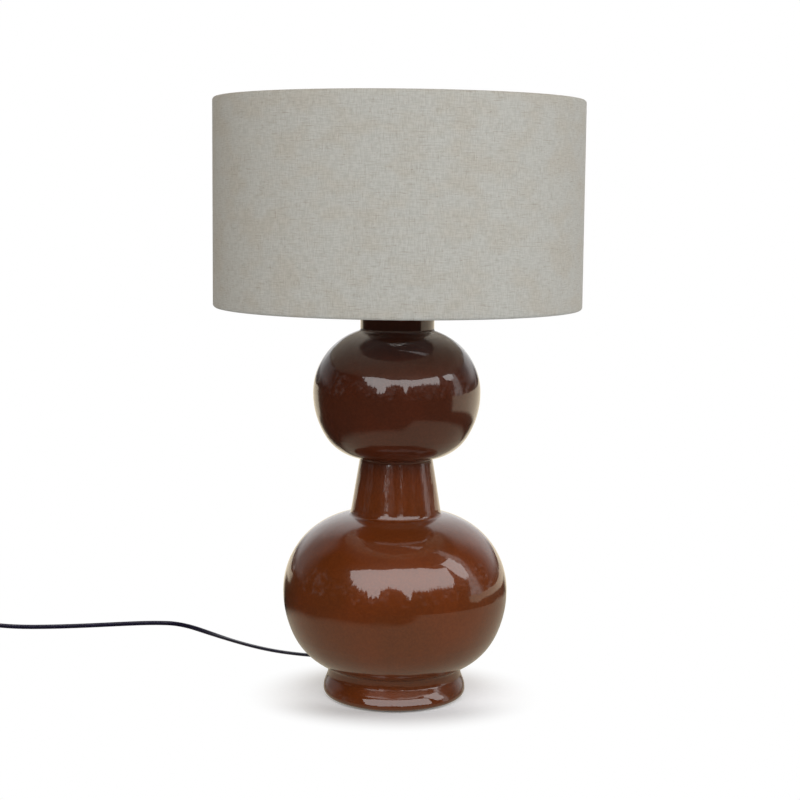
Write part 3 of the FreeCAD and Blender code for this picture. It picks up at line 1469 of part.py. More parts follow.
# ---------------------------------------------------------------- plug

def make_plug_body():
    """Moulded two pin plug: a flat face, drawn-in sides and a ribbed strain relief."""
    width, thick, length = dim("plug_width"), dim("plug_thickness"), dim("plug_length")
    body = new_body("plug_body")
    relief = dim("plug_relief_radius")
    sections = [
        (as_size(0), width, thick, as_size(4.0)),
        (-length * 0.35, width * 0.94, thick, as_size(4.0)),
        (-length * 0.75, width * 0.58, thick * 0.92, as_size(4.5)),
        (-length, relief * 2.6, relief * 2.4, relief * 1.1),
    ]
    sketches = []
    for number, (place, across, high, corner) in enumerate(sections):
        sketch = new_sketch(body, f"section_{number}", "YZ_Plane", lift=place)
        draw_outline(sketch, rounded_rectangle(across, high, corner))
        sketches.append(sketch)
    doc.recompute()
    loft = body.newObject("PartDesign::AdditiveLoft", "plug_loft")
    loft.Profile = sketches[0]
    loft.Sections = sketches[1:]
    loft.Ruled = False
    doc.recompute()
    sleeve = new_sketch(body, "relief", "XY_Plane")
    tip = dim("plug_relief_tip")
    far = length + dim("plug_relief")
    draw_outline(sleeve, [(-far, 0), (-far, -tip), (-length + 0.5, -relief), (-length + 0.5, 0)])
    cone = body.newObject("PartDesign::Revolution", "plug_relief")
    cone.Profile = sleeve
    cone.ReferenceAxis = (sleeve, ["H_Axis"])
    cone.Angle = 360.0
    doc.recompute()
    ribs = new_sketch(body, "ribs", "XY_Plane")
    rib = dim("plug_relief") / 12
    for number in range(5):
        start = length + rib * (1.5 + 2 * number)
        shrink = (relief - tip) * ((1.5 + 2 * number) / 12)
        draw_outline(ribs, rectangle(-(start + rib), -start, shrink - relief - 1.0, shrink - relief + 0.7))
    cut = body.newObject("PartDesign::Groove", "plug_ribs")
    cut.Profile = ribs
    cut.ReferenceAxis = (ribs, ["H_Axis"])
    cut.Angle = 360.0
    doc.recompute()
    holes = new_sketch(body, "pin_holes", "YZ_Plane")
    for side in (1, -1):
        draw_circle(holes, dim("pin_spacing") / 2 * side, 0, dim("pin_radius") - dim("pin_sleeve_wall"))
    pocket(body, holes, dim("pin_root"), name="pin_hole_cut")
    place_plug(body)
    return body


def place_plug(body):
    """Lays a piece of the plug on the table, its pins pointing away from the lamp's front."""
    body.Placement = Placement(Vector(*PLUG_PLACE), Rotation(Vector(0, 0, 1), -90))


def make_plug_pins():
    """Two brass pins with insulated roots."""
    core = dim("pin_radius") - dim("pin_sleeve_wall")
    half = dim("pin_spacing") / 2
    pins = new_body("plug_pins")
    cores = new_sketch(pins, "cores", "YZ_Plane", lift=-dim("pin_root"))
    tips = new_sketch(pins, "tips", "YZ_Plane", lift=dim("pin_sleeve"))
    sleeves = new_body("pin_sleeves")
    tubes = new_sketch(sleeves, "tubes", "YZ_Plane")
    for side in (1, -1):
        draw_circle(cores, half * side, 0, core)
        draw_circle(tips, half * side, 0, dim("pin_radius"))
        draw_circle(tubes, half * side, 0, dim("pin_radius"))
        draw_circle(tubes, half * side, 0, core)
    pad(pins, cores, dim("pin_root") + dim("pin_sleeve") + 1.0, name="core_pad")
    bare = pad(pins, tips, dim("pin_length") - dim("pin_sleeve"), name="tip_pad")
    ends = edges_where(bare.Shape, lambda edge: abs(edge.BoundBox.XMin - dim("pin_length").value) < 1e-4
                       and edge.BoundBox.XLength < 1e-4)
    fillet(pins, bare, ends, dim("pin_radius") * 0.6)
    pad(sleeves, tubes, dim("pin_sleeve"))
    for body in (pins, sleeves):
        place_plug(body)
    return [pins, sleeves]


# ---------------------------------------------------------------- assembly

def make_all():
    """Every sub-part of the lamp."""
    parts = [make_felt_pad(), make_ceramic_body()]
    parts += make_stack()
    parts += make_lampholder()
    parts += make_bulb()
    parts += make_shade()
    parts += [make_gland(), make_inner_lead(), make_lead_cores()]
    coil_start, coil_end = coil_ends()
    parts += [
        make_cord("cord_lead", [gland_tip(), *LEAD_ROUTE, switch_end(1)]),
        make_cord("cord_run", [switch_end(-1), *RUN_ROUTE, coil_start]),
        make_coil(),
        make_coil_tie(),
        make_cord("cord_tail", [coil_end, *TAIL_ROUTE, relief_end()]),
    ]
    parts += [make_switch_base(), make_switch_cover(), make_rocker()]
    parts += make_switch_small_parts()
    parts += [make_plug_body()]
    parts += make_plug_pins()
    return parts


def check(parts):
    """Stops with a message if any object failed or any sub-part has no valid shape."""
    broken = [item.Label for item in doc.Objects if {"Invalid", "Error"} & set(item.State)]
    empty = [part.Label for part in parts if part.Shape.isNull() or not part.Shape.isValid()
             or not part.Shape.Solids]
    if broken or empty:
        raise RuntimeError(f"failed objects: {broken}; sub-parts without a valid shape: {empty}")


def export(parts):
    """Writes each sub-part to a file named after it."""
    os.makedirs("parts", exist_ok=True)
    for part in parts:
        part.Shape.exportStep(f"parts/{part.Label}.step")
    print(len(parts), "sub-parts written")


PARTS = make_all()
doc.recompute()
check(PARTS)
export(PARTS)
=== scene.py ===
import logging
import math
from dataclasses import dataclass, field
from enum import Enum
from typing import Any, Callable, Sequence

import bpy
from mathutils import Matrix, Vector


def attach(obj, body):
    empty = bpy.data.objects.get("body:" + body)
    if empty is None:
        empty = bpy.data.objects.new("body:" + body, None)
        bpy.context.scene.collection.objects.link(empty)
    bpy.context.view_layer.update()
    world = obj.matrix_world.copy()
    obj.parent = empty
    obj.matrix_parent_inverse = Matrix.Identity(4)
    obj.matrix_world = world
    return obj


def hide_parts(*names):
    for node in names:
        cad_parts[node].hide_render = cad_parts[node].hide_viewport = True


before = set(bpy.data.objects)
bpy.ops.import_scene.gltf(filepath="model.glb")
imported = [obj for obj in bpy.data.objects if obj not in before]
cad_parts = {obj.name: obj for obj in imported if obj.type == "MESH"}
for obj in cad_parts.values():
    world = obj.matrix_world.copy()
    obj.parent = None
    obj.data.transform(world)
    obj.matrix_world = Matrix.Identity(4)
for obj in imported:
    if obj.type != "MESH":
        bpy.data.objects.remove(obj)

LOG = logging.getLogger("gourd_lamp")
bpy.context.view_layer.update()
MM = 0.001

Colour = tuple[float, float, float, float]
Pair = tuple[float, float]
Point = tuple[float, float, float]
Loop = list[Vector]
Tree = bpy.types.NodeTree
Node = bpy.types.Node
Socket = bpy.types.NodeSocket
Material = bpy.types.Material


# ------------------------------ shared helpers


def linear(code: str) -> Colour:
    """Turns an sRGB hex colour into the linear colour that shaders take.

    Args:
        code: Six hex digits, such as "b9b6b2".

    Returns:
        Linear red, green, blue and an alpha of 1.
    """
    def channel(value: float) -> float:
        """One sRGB channel made linear."""
        return value / 12.92 if value <= 0.04045 else ((value + 0.055) / 1.055) ** 2.4

    red, green, blue = (channel(int(code[i:i + 2], 16) / 255) for i in (0, 2, 4))
    return red, green, blue, 1.0


def fill_inputs(tree: Tree, node: Node, inputs: dict[str | int, Any]) -> None:
    """Sets a node's inputs, by name or number, to values or links sockets to them."""
    for key, value in inputs.items():
        if isinstance(value, Socket):
            tree.links.new(value, node.inputs[key])
        else:
            node.inputs[key].default_value = value


def add_node(tree: Tree, kind: str, inputs: dict[str | int, Any] | None = None,
             **settings: Any) -> Node:
    """Adds one node, sets its properties and fills or links its inputs.

    Args:
        tree: The node tree that gets the node.
        kind: The node's type name, without ShaderNode.
        inputs: Values or output sockets for the node's inputs, by name or number.
        **settings: Properties of the node itself.

    Returns:
        The new node.
    """
    node = tree.nodes.new("ShaderNode" + kind)
    for name, value in settings.items():
        setattr(node, name, value)
    fill_inputs(tree, node, inputs or {})
    return node


def new_material(name: str) -> tuple[Material, Tree, Node]:
    """Makes a material with an empty tree and its output.

    Args:
        name: The material's name.

    Returns:
        The material, its node tree and its Principled shader, already linked to the output.
    """
    material = bpy.data.materials.new(name)
    material.use_nodes = True
    tree = material.node_tree
    tree.nodes.clear()
    shader = add_node(tree, "BsdfPrincipled")
    add_node(tree, "OutputMaterial", {"Surface": shader.outputs["BSDF"]})
    return material, tree, shader


def calc(tree: Tree, operation: str, *values: Any) -> Socket:
    """The result of one arithmetic step on sockets or numbers."""
    node = add_node(tree, "Math", dict(enumerate(values)), operation=operation)
    return node.outputs[0]


def product(tree: Tree, first: Any, second: Any) -> Socket:
    """The product of two sockets or numbers."""
    return calc(tree, "MULTIPLY", first, second)


def reach_of(tree: Tree, across: Any, along: Any) -> Socket:
    """How far a point lies from the axis, from its two distances across and along."""
    squares = [calc(tree, "POWER", side, 2.0) for side in (across, along)]
    return calc(tree, "SQRT", calc(tree, "ADD", *squares))


def ramp(tree: Tree, factor: Socket, stops: Sequence[tuple[float, Colour]]) -> Socket:
    """Maps a factor to colours.

    Args:
        tree: The node tree.
        factor: The value that is mapped.
        stops: Positions from 0 to 1 with their colours, in rising order.

    Returns:
        The colour socket.
    """
    node = add_node(tree, "ValToRGB", {"Fac": factor})
    elements = node.color_ramp.elements
    while len(elements) < len(stops):
        elements.new(0.5)
    for element, (position, colour) in zip(elements, stops):
        element.position = position
        element.color = colour
    return node.outputs["Color"]


def mix_colour(tree: Tree, factor: Any, first: Any, second: Any, blend: str = "MIX") -> Socket:
    """The mix of two colours, each a socket or a colour."""
    node = add_node(tree, "Mix", {0: factor, 6: first, 7: second}, data_type="RGBA",
                    blend_type=blend)
    return node.outputs[2]


def noise(tree: Tree, vector: Socket, scale: float, detail: float = 2.0,
          roughness: float = 0.5) -> Socket:
    """A noise value on a vector."""
    node = add_node(tree, "TexNoise", {
        "Vector": vector, "Scale": scale, "Detail": detail, "Roughness": roughness})
    return node.outputs["Fac"]


def smooth(tree: Tree, value: Any, low: float, high: float) -> Socket:
    """0 at low and 1 at high, eased between them and held outside. Low may be the higher value."""
    node = add_node(tree, "MapRange", {"Value": value, "From Min": low, "From Max": high},
                    interpolation_type="SMOOTHSTEP")
    return node.outputs["Result"]


def row_frame(tree: Tree) -> tuple[Socket, Node]:
    """The point in the row frame, whole and split into its three axes."""
    point = add_node(tree, "TexCoord").outputs["Object"]
    return point, add_node(tree, "SeparateXYZ", {0: point})


def bump(tree: Tree, height: Socket, depth: float,
         strength: float = 1.0, under: Socket | None = None) -> Socket:
    """A normal bumped by a height from 0 to 1, depth metres deep."""
    inputs: dict[str | int, Any] = {"Height": height, "Distance": depth, "Strength": strength}
    if under is not None:
        inputs["Normal"] = under
    return add_node(tree, "Bump", inputs).outputs["Normal"]


def add_object(name: str, data: bpy.types.ID) -> bpy.types.Object:
    """Puts an object with its data into the scene."""
    made = bpy.data.objects.new(name, data)
    bpy.context.scene.collection.objects.link(made)
    return made


def mesh_piece(name: str, points: Sequence[Vector], faces: Sequence[Sequence[int]],
               material: Material, body: str) -> bpy.types.Object:
    """Makes a smooth shaded mesh piece that rides on a body.

    Args:
        name: The piece's name.
        points: Its points in the row frame, in metres.
        faces: Its faces as point numbers.
        material: Its finish.
        body: The body that it rides on.

    Returns:
        The new object.
    """
    mesh = bpy.data.meshes.new(name)
    mesh.from_pydata([tuple(point) for point in points], [], [list(face) for face in faces])
    mesh.validate()
    mesh.shade_smooth()
    piece = add_object(name, mesh)
    piece.data.materials.append(material)
    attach(piece, body)
    return piece


def skin(loops: Sequence[Loop], closed: bool = False) -> tuple[Loop, list[list[int]]]:
    """Joins closed loops of equal length into one tube.

    Args:
        loops: Loops of points, in order along the tube.
        closed: True if the last loop joins the first one. Otherwise both ends are capped.

    Returns:
        All the points, and the faces between and across them.
    """
    count, size = len(loops), len(loops[0])
    points = [point for loop in loops for point in loop]
    faces = []
    for number in range(count if closed else count - 1):
        here, there = number * size, (number + 1) % count * size
        for corner in range(size):
            after = (corner + 1) % size
            faces.append([here + corner, here + after, there + after, there + corner])
    if not closed:
        faces.append(list(range(size))[::-1])
        faces.append([(count - 1) * size + corner for corner in range(size)])
    return points, faces


# ------------------------------ finishes


@dataclass(frozen=True)
class GlazedStoneware:
    """Iron-brown glaze, dipped and fired over cast stoneware.

    The glaze is a thick glassy coat: it gives sharp reflections, a slightly wavy surface and a tone
    that wanders from reddish brown to maroon. It pools in two places and shifts what they mirror.
    The foot ring and the hollow under the foot stay bare. Heights and radii are in metres.
    """

    low: str = "6f3716"
    middle: str = "713917"
    high: str = "532919"
    neck: str = "3b1d14"
    clay: str = "a98a6c"
    body_height: float = 0.44
    wiped_edge: Pair = (0.0027, 0.0021)
    hollow_radius: float = 0.0645
    hollow_height: float = 0.0365
    throat_foot: Pair = (0.203, 0.212)
    throat_top: Pair = (0.269, 0.262)
    # Each pool of glaze: its top, its bottom, how fast it swells and with which power.
    pools: tuple[tuple[float, ...], ...] = (
        (0.2125, 0.2037, 24.0, 2.0), (0.0245, 0.003, 0.355, 1.0),
    )

    def tone(self, tree: Tree, point: Socket, height: Socket) -> Socket:
        """Colour of the glaze: bands by height, clouds, mottling and specks."""
        level = calc(tree, "DIVIDE", height, self.body_height)
        tone = ramp(tree, level, [
            (0.0, linear(self.low)), (0.2, linear(self.middle)), (0.5, linear(self.low)),
            (0.62, linear(self.high)), (0.82, linear(self.high)), (0.93, linear(self.neck)),
        ])
        # Clouds over 60 mm, mottling over 9 mm and specks of 2.5 mm, as iron gathers in the melt.
        cloud = smooth(tree, noise(tree, point, 1 / 0.060, 3.0), 0.35, 0.65)
        drift = mix_colour(tree, cloud, linear("9c8878"), linear("7d7a78"))
        tone = mix_colour(tree, 0.5, tone, drift, "OVERLAY")
        mottle = smooth(tree, noise(tree, point, 1 / 0.009, 4.0, 0.6), 0.5, 0.75)
        tone = mix_colour(tree, product(tree, mottle, 0.12), tone, linear("3a1a10"))
        speck = smooth(tree, noise(tree, point, 1 / 0.0025, 2.0), 0.35, 0.65)
        specks = mix_colour(tree, speck, linear("a0a0a0"), linear("d8d8d8"))
        return mix_colour(tree, 0.22, tone, specks, "OVERLAY")

    def relief(self, tree: Tree, point: Socket, height: Socket) -> Socket:
        """Normal of the glaze's surface: pools, runs down the throat, waves and orange peel."""
        pool: Socket | float = 0.0
        for top, bottom, swell, power in self.pools:
            under = calc(tree, "MAXIMUM", calc(tree, "SUBTRACT", top, height), 0.0)
            under = calc(tree, "MINIMUM", under, top - bottom)
            under = product(tree, calc(tree, "POWER", under, power), swell)
            within = calc(tree, "GREATER_THAN", height, bottom)
            pool = calc(tree, "MULTIPLY_ADD", under, within, pool)
        # Runs 6 mm wide, waves 35 mm long and a faint orange peel 4 mm across.
        stretched = add_node(tree, "Mapping", {"Vector": point, "Scale": (1.0, 1.0, 0.06)})
        runs = noise(tree, stretched.outputs[0], 1 / 0.006, 3.0)
        throat = product(tree, smooth(tree, height, *self.throat_foot),
                         smooth(tree, height, *self.throat_top))
        normal = bump(tree, pool, 1.0)
        normal = bump(tree, product(tree, runs, throat), 0.0006, 0.8, under=normal)
        normal = bump(tree, noise(tree, point, 1 / 0.035, 1.0), 0.0016, 0.6, under=normal)
        return bump(tree, noise(tree, point, 1 / 0.004, 2.0), 0.00006, 0.5, under=normal)

    def build(self) -> Material:
        """Makes the material."""
        material, tree, shader = new_material("glazed_stoneware")
        point, axes = row_frame(tree)
        height = axes.outputs["Z"]
        radius = reach_of(tree, axes.outputs["X"], axes.outputs["Y"])
        wiped = smooth(tree, height, *self.wiped_edge)
        hollow = product(tree, calc(tree, "LESS_THAN", radius, self.hollow_radius),
                         calc(tree, "LESS_THAN", height, self.hollow_height))
        bare = calc(tree, "MAXIMUM", wiped, hollow)
        grit = noise(tree, point, 1 / 0.0012, 2.0)
        clay = mix_colour(tree, grit, linear(self.clay), linear("8b6d52"))
        fill_inputs(tree, shader, {
            "Base Color": mix_colour(tree, bare, self.tone(tree, point, height), clay),
            "Roughness": calc(tree, "MULTIPLY_ADD", bare, 0.55, 0.30),
            "IOR": 1.5, "Specular IOR Level": 0.15,
            "Coat Weight": calc(tree, "SUBTRACT", 1.0, bare), "Coat Roughness": 0.01,
            "Coat IOR": 1.52, "Coat Normal": self.relief(tree, point, height),
            "Normal": bump(tree, grit, 0.0003, 0.3),
        })
        return material


@dataclass(frozen=True)
class LinenCloth:
    """Natural linen, plain woven from uneven flax yarn and glued on a liner.

    Flax yarn is thick and thin in turns, which gives the eye short slubs along both thread
    directions, a cloudy tone and a dull surface with a faint sheen.
    """

    body: str = "bdc0be"
    warm: str = "b8b2a6"
    slub: str = "857468"
    drum_radius: float = 0.2
    # Each kind of slub: its width and height in millimetres, its place in the noise, the noise
    # value at which it starts, and how dark it is.
    slubs: tuple[tuple[float, ...], ...] = (
        (16.0, 1.3, 11.0, 0.60, 0.30), (1.3, 11.0, 17.0, 0.61, 0.28),
        (5.0, 1.3, 23.0, 0.67, 0.50), (1.8, 1.8, 31.0, 0.72, 0.7),
    )

    def build(self) -> Material:
        """Makes the material."""
        material, tree, shader = new_material("linen_cloth")
        _, axes = row_frame(tree)
        flipped = product(tree, axes.outputs["Y"], -1.0)
        angle = calc(tree, "ARCTAN2", axes.outputs["X"], flipped)
        along = product(tree, angle, self.drum_radius)
        up = axes.outputs["Z"]

        def threads(wide: float, high: float, offset: float) -> Socket:
            """Noise stretched to marks of a width and a height in millimetres."""
            place = add_node(tree, "CombineXYZ", {
                0: calc(tree, "DIVIDE", along, wide * MM),
                1: calc(tree, "DIVIDE", up, high * MM), 2: offset})
            return noise(tree, place.outputs[0], 1.0, 2.0, 0.55)

        # The yarn lies 0.6 mm apart. It is drawn 1.3 mm apart, because 0.6 mm is under a pixel.
        cloth = calc(tree, "ADD", threads(9.0, 1.3, 0.0), threads(1.3, 9.0, 7.0))
        drift = product(tree, smooth(tree, threads(45.0, 30.0, 3.0), 0.4, 0.68), 0.35)
        tone = mix_colour(tree, drift, linear(self.body), linear(self.warm))
        light = mix_colour(tree, smooth(tree, cloth, 0.75, 1.25), linear("77726b"),
                           linear("ffffff"))
        tone = mix_colour(tree, 0.20, tone, light, "MULTIPLY")
        # Slubs come in groups some 20 mm across.
        group = smooth(tree, threads(26.0, 16.0, 41.0), 0.28, 0.55)
        for wide, high, offset, start, weight in self.slubs:
            mark = smooth(tree, threads(wide, high, offset), start, start + 0.07)
            mark = product(tree, product(tree, mark, group), weight)
            tone = mix_colour(tree, mark, tone, linear(self.slub))
        fill_inputs(tree, shader, {
            "Base Color": tone, "Roughness": 0.92, "Specular IOR Level": 0.2,
            "Sheen Weight": 0.12, "Sheen Roughness": 0.5,
            "Normal": bump(tree, cloth, 0.0007, 0.55),
        })
        return material


@dataclass(frozen=True)
class Moulded:
    """Moulded plastic or rubber: one colour with the fine grain of its mould."""

    name: str
    colour: str
    roughness: float
    grain: float = 0.35
    depth: float = 0.04
    ior: float = 1.46

    def build(self) -> Material:
        """Makes the material; the grain's size and depth are in millimetres."""
        material, tree, shader = new_material(self.name)
        point, _ = row_frame(tree)
        grain = noise(tree, point, 1 / (self.grain * MM), 3.0)
        patch = noise(tree, point, 1 / 0.018, 2.0)
        tone = mix_colour(tree, patch, linear(self.colour), linear("8d8d8d"), "SOFT_LIGHT")
        fill_inputs(tree, shader, {
            "Base Color": tone, "IOR": self.ior,
            "Roughness": calc(tree, "MULTIPLY_ADD", grain, 0.16, self.roughness - 0.08),
            "Normal": bump(tree, grain, self.depth * MM, 0.5),
        })
        return material


@dataclass(frozen=True)
class TurnedMetal:
    """Metal turned on a lathe: fine rings about the lamp's axis and a few handling marks."""

    name: str
    colour: str
    roughness: float
    pitch: float = 0.45

    def build(self) -> Material:
        """Makes the material; the rings' pitch is in millimetres."""
        material, tree, shader = new_material(self.name)
        point, axes = row_frame(tree)
        level = calc(tree, "DIVIDE", axes.outputs["Z"], self.pitch * MM)
        place = add_node(tree, "CombineXYZ", {0: 0.0, 1: 0.0, 2: level})
        rings = noise(tree, place.outputs[0], 1.0, 2.0)
        smear = noise(tree, point, 1 / 0.012, 4.0)
        worn = calc(tree, "MULTIPLY_ADD", smear, 0.25, self.roughness - 0.18)
        tone = mix_colour(tree, smear, linear(self.colour), linear("6b6258"), "SOFT_LIGHT")
        fill_inputs(tree, shader, {
            "Base Color": tone, "Metallic": 1.0,
            "Roughness": calc(tree, "ADD", product(tree, rings, 0.12), worn),
            "Normal": bump(tree, rings, 0.00004, 0.4),
        })
        return material


@dataclass(frozen=True)
class FineGrained:
    """A pale, nearly plain surface: two close tones and a shallow relief, both of one fine grain.

    The grain's size and depth are in metres.
    """

    name: str
    colour: str
    second: str
    size: float
    depth: float
    roughness: float
    detail: float = 3.0

    def build(self) -> Material:
        """Makes the material."""
        material, tree, shader = new_material(self.name)
        point, _ = row_frame(tree)
        grain = noise(tree, point, 1 / self.size, self.detail)
        fill_inputs(tree, shader, {
            "Base Color": mix_colour(tree, grain, linear(self.colour), linear(self.second)),
            "Roughness": self.roughness, "Normal": bump(tree, grain, self.depth, 0.4),
        })
        return material


@dataclass(frozen=True)
class Fibrous:
    """Pressed fibre or bark, such as felt and cork: soft, matt and flecked."""

    name: str
    colour: str
    fleck: str
    size: float

    def build(self) -> Material:
        """Makes the material; the flecks' size is in millimetres."""
        material, tree, shader = new_material(self.name)
        point, _ = row_frame(tree)
        fleck = noise(tree, point, 1 / (self.size * MM), 5.0, 0.7)
        tone = mix_colour(tree, smooth(tree, fleck, 0.4, 0.62), linear(self.colour),
                          linear(self.fleck))
        fill_inputs(tree, shader, {
            "Base Color": tone, "Roughness": 0.95, "Sheen Weight": 0.2,
            "Normal": bump(tree, fleck, 0.0004, 0.8),
        })
        return material


@dataclass(frozen=True)
class Glass:
    """Blown soda-lime glass: clear, with faint streaks from blowing that waver its reflections."""

    name: str = "blown_glass"

    def build(self) -> Material:
        """Makes the material."""
        material, tree, shader = new_material(self.name)
        point, _ = row_frame(tree)
        streak = noise(tree, point, 1 / 0.014, 2.0)
        fill_inputs(tree, shader, {
            "Base Color": linear("f6f7f5"), "Transmission Weight": 1.0, "IOR": 1.5,
            "Roughness": product(tree, streak, 0.05), "Normal": bump(tree, streak, 0.0003, 0.15),
        })
        return material


class Finish(Enum):
    """Every finish on the lamp."""

    STONEWARE = GlazedStoneware()
    LINEN = LinenCloth()
    # White styrene film behind the linen: satin, with the cloth's threads showing through.
    LINER = FineGrained("styrene_liner", "eeebe4", "dcd7cd", 0.002, 0.0001, 0.48)
    # Steel wire with a thin coat of white powder enamel, slightly uneven where it pooled.
    WIRE = FineGrained("white_enamelled_wire", "e4e1db", "cfcac1", 0.0011, 0.00008, 0.38, 2.0)
    HOLDER = Moulded("phenolic_black", "1b1a1c", 0.36)
    RUBBER = Moulded("soft_rubber_black", "19181b", 0.55, grain=0.5, depth=0.06, ior=1.5)
    PLUG = Moulded("moulded_pvc_black", "1a1920", 0.42, grain=0.4)
    JACKET = Moulded("cord_jacket_navy", "1c1832", 0.34, grain=1.5, depth=0.01, ior=1.5)
    CORE = Moulded("core_insulation_blue", "2f5f9e", 0.40)
    STRAP = Moulded("tie_tape_black", "222126", 0.85, grain=0.7, depth=0.2)
    FELT = Fibrous("pressed_felt", "39332f", "4c443d", 1.2)
    CORK = Fibrous("ground_cork", "ab7f50", "6e4c2c", 1.8)
    # Unglazed electrical porcelain: off-white, dense and slightly sandy.
    PORCELAIN = FineGrained("electrical_porcelain", "ebe8e0", "d8d3c8", 0.0008, 0.00008, 0.42)
    BRASS = TurnedMetal("lacquered_brass", "b9935a", 0.30)
    STEEL = TurnedMetal("zinc_plated_steel", "a9acae", 0.36)
    NICKEL = TurnedMetal("nickel_plated_pins", "c9c8c4", 0.22)
    TIN = TurnedMetal("aluminium_lamp_cap", "b9babd", 0.34, pitch=3.2)
    GLASS = Glass()


MADE: dict[Finish, Material] = {}


def finish_material(finish: Finish) -> Material:
    """The material of a finish, made the first time it is asked for."""
    if finish not in MADE:
        MADE[finish] = finish.value.build()
    return MADE[finish]


# ------------------------------ solids with their CAD shape


@dataclass
class CarriedSolids:
    """CAD nodes whose shape is right, by the finish that they get."""

    finishes: dict[Finish, str] = field(default_factory=lambda: {
        Finish.STONEWARE: "ceramic_body",
        Finish.STEEL: "base_washer base_nut threaded_tube terminal_screws grub_screw "
                      "bulb_filament switch_pin switch_screws",
        Finish.CORK: "neck_seal",
        Finish.BRASS: "neck_cap cap_nut screw_contact centre_contact terminal_blocks "
                      "switch_terminals",
        Finish.HOLDER: "lampholder_cap lampholder_shell ring_nut_lower ring_nut_upper "
                       "bulb_insulator",
        Finish.PORCELAIN: "lampholder_insert",
        Finish.GLASS: "bulb_glass bulb_stem",
        Finish.TIN: "bulb_cap bulb_contact",
        Finish.LINER: "shade_liner",
        Finish.WIRE: "shade_ring_top shade_ring_bottom spider_ring shade_spider",
        Finish.RUBBER: "cord_gland",
        Finish.JACKET: "inner_lead",
        Finish.CORE: "lead_cores",
        Finish.PLUG: "switch_base switch_cover switch_rocker plug_body pin_sleeves",
        Finish.NICKEL: "plug_pins",
    })

    def dress(self) -> None:
        """Gives each node its finish in place of the material that it came with."""
        for finish, nodes in self.finishes.items():
            for node in nodes.split():
                materials = bpy.data.objects[node].data.materials
                materials.clear()
                materials.append(finish_material(finish))
        LOG.info("dressed the solids with %d finishes", len(self.finishes))


# ------------------------------ shade


@dataclass
class LinenShade:
    """The linen of the drum shade: one cloth, rolled round the wire ring at each edge."""

    radius: float = 0.200
    cloth: float = 0.0006
    wire_low: float = 0.4353
    wire_high: float = 0.6517
    roll: float = 0.0033
    roll_turn: float = 270.0
    roll_steps: int = 12
    rows: int = 24
    seam_width: float = 0.012
    seam_rise: float = 0.0005
    seam_gap_angle: float = 0.0004
    segments: int = 288

    def rolled_edge(self, height: float, start: float) -> list[Pair]:
        """Arc of the cloth round the wire at a height, from a start angle in degrees."""
        angles = [math.radians(start + self.roll_turn * step / self.roll_steps)
                  for step in range(self.roll_steps + 1)]
        return [(self.radius - self.roll + self.roll * math.cos(angle),
                 height + self.roll * math.sin(angle)) for angle in angles]

    def edge_path(self) -> list[Pair]:
        """Outer line of the cloth as (radius, height), from its lower end to its upper one."""
        rise = self.wire_high - self.wire_low
        side = [(self.radius, self.wire_low + rise * row / self.rows)
                for row in range(1, self.rows)]
        return self.rolled_edge(self.wire_low, 90) + side + self.rolled_edge(self.wire_high, 0)

    def section(self) -> list[Pair]:
        """Closed section of the cloth: its outer line, and that line moved in by its thickness."""
        outer = self.edge_path()
        inner = []
        for number, (x, z) in enumerate(outer):
            before = outer[max(number - 1, 0)]
            after = outer[min(number + 1, len(outer) - 1)]
            way = Vector((after[0] - before[0], after[1] - before[1])).normalized()
            inner.append((x - way.y * self.cloth, z + way.x * self.cloth))
        return outer + inner[::-1]

    def make(self) -> None:
        """Makes the cloth with the overlap of its two ends at the back."""
        half = self.seam_width / self.radius / 2
        gap = self.seam_gap_angle
        angles = [math.pi / 2 + half + gap + (math.tau - 2 * half - 2 * gap) * n / self.segments
                  for n in range(self.segments + 1)]
        angles += [math.pi / 2 - half, math.pi / 2, math.pi / 2 + half]
        section = self.section()
        loops = []
        for number, angle in enumerate(angles):
            lift = self.seam_rise if number > self.segments else 0.0
            line = [(x + lift * (x > self.radius - self.roll), z) for x, z in section]
            loops.append([Vector((x * math.cos(angle), x * math.sin(angle), z)) for x, z in line])
        points, faces = skin(loops, closed=True)
        cloth = mesh_piece("linen_cover", points, faces, finish_material(Finish.LINEN), "shade")
        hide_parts("shade_linen", "shade_hem_top", "shade_hem_bottom")


# ------------------------------ felt under the foot


@dataclass
class FeltPad:
    """Felt disc under the foot, with a soft and slightly uneven cut edge."""

    radius: float = 0.070
    thickness: float = 0.0015
    segments: int = 96
    fray_depth: float = 0.0018
    fray_waves: tuple[int, int] = (13, 31)
    fray_shift: float = 1.3
    # Shares of the radius and of the thickness, from the middle of one face to that of the other.
    profile: tuple[Pair, ...] = (
        (0.02, 0.0), (0.9, 0.0), (0.985, 0.0), (1.0, 0.3), (0.997, 0.75), (0.985, 1.0), (0.9, 1.0),
        (0.02, 1.0),
    )
    fray_from: float = 0.95

    def fray(self, angle: float) -> float:
        """Share of the radius that the cut edge reaches at an angle."""
        first, second = self.fray_waves
        wave = math.sin(first * angle) * math.sin(second * angle + self.fray_shift)
        return 1 - self.fray_depth * (0.5 + 0.5 * wave)

    def make(self) -> None:
        """Makes the disc."""
        angles = [math.tau * number / self.segments for number in range(self.segments)]
        loops = []
        for share, level in self.profile:
            reaches = [self.radius * share * (self.fray(angle) if share > self.fray_from else 1.0)
                       for angle in angles]
            height = self.thickness * level
            loops.append([Vector((reach * math.cos(angle), reach * math.sin(angle), height))
                          for reach, angle in zip(reaches, angles)])
        points, faces = skin(loops)
        felt = mesh_piece("felt_disc", points, faces, finish_material(Finish.FELT), "base")
        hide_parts("felt_pad")


# ------------------------------ cord


def ease(share: float) -> float:
    """A share held between 0 and 1 and eased at both ends."""
    share = min(max(share, 0.0), 1.0)
    return share * share * (3 - 2 * share)


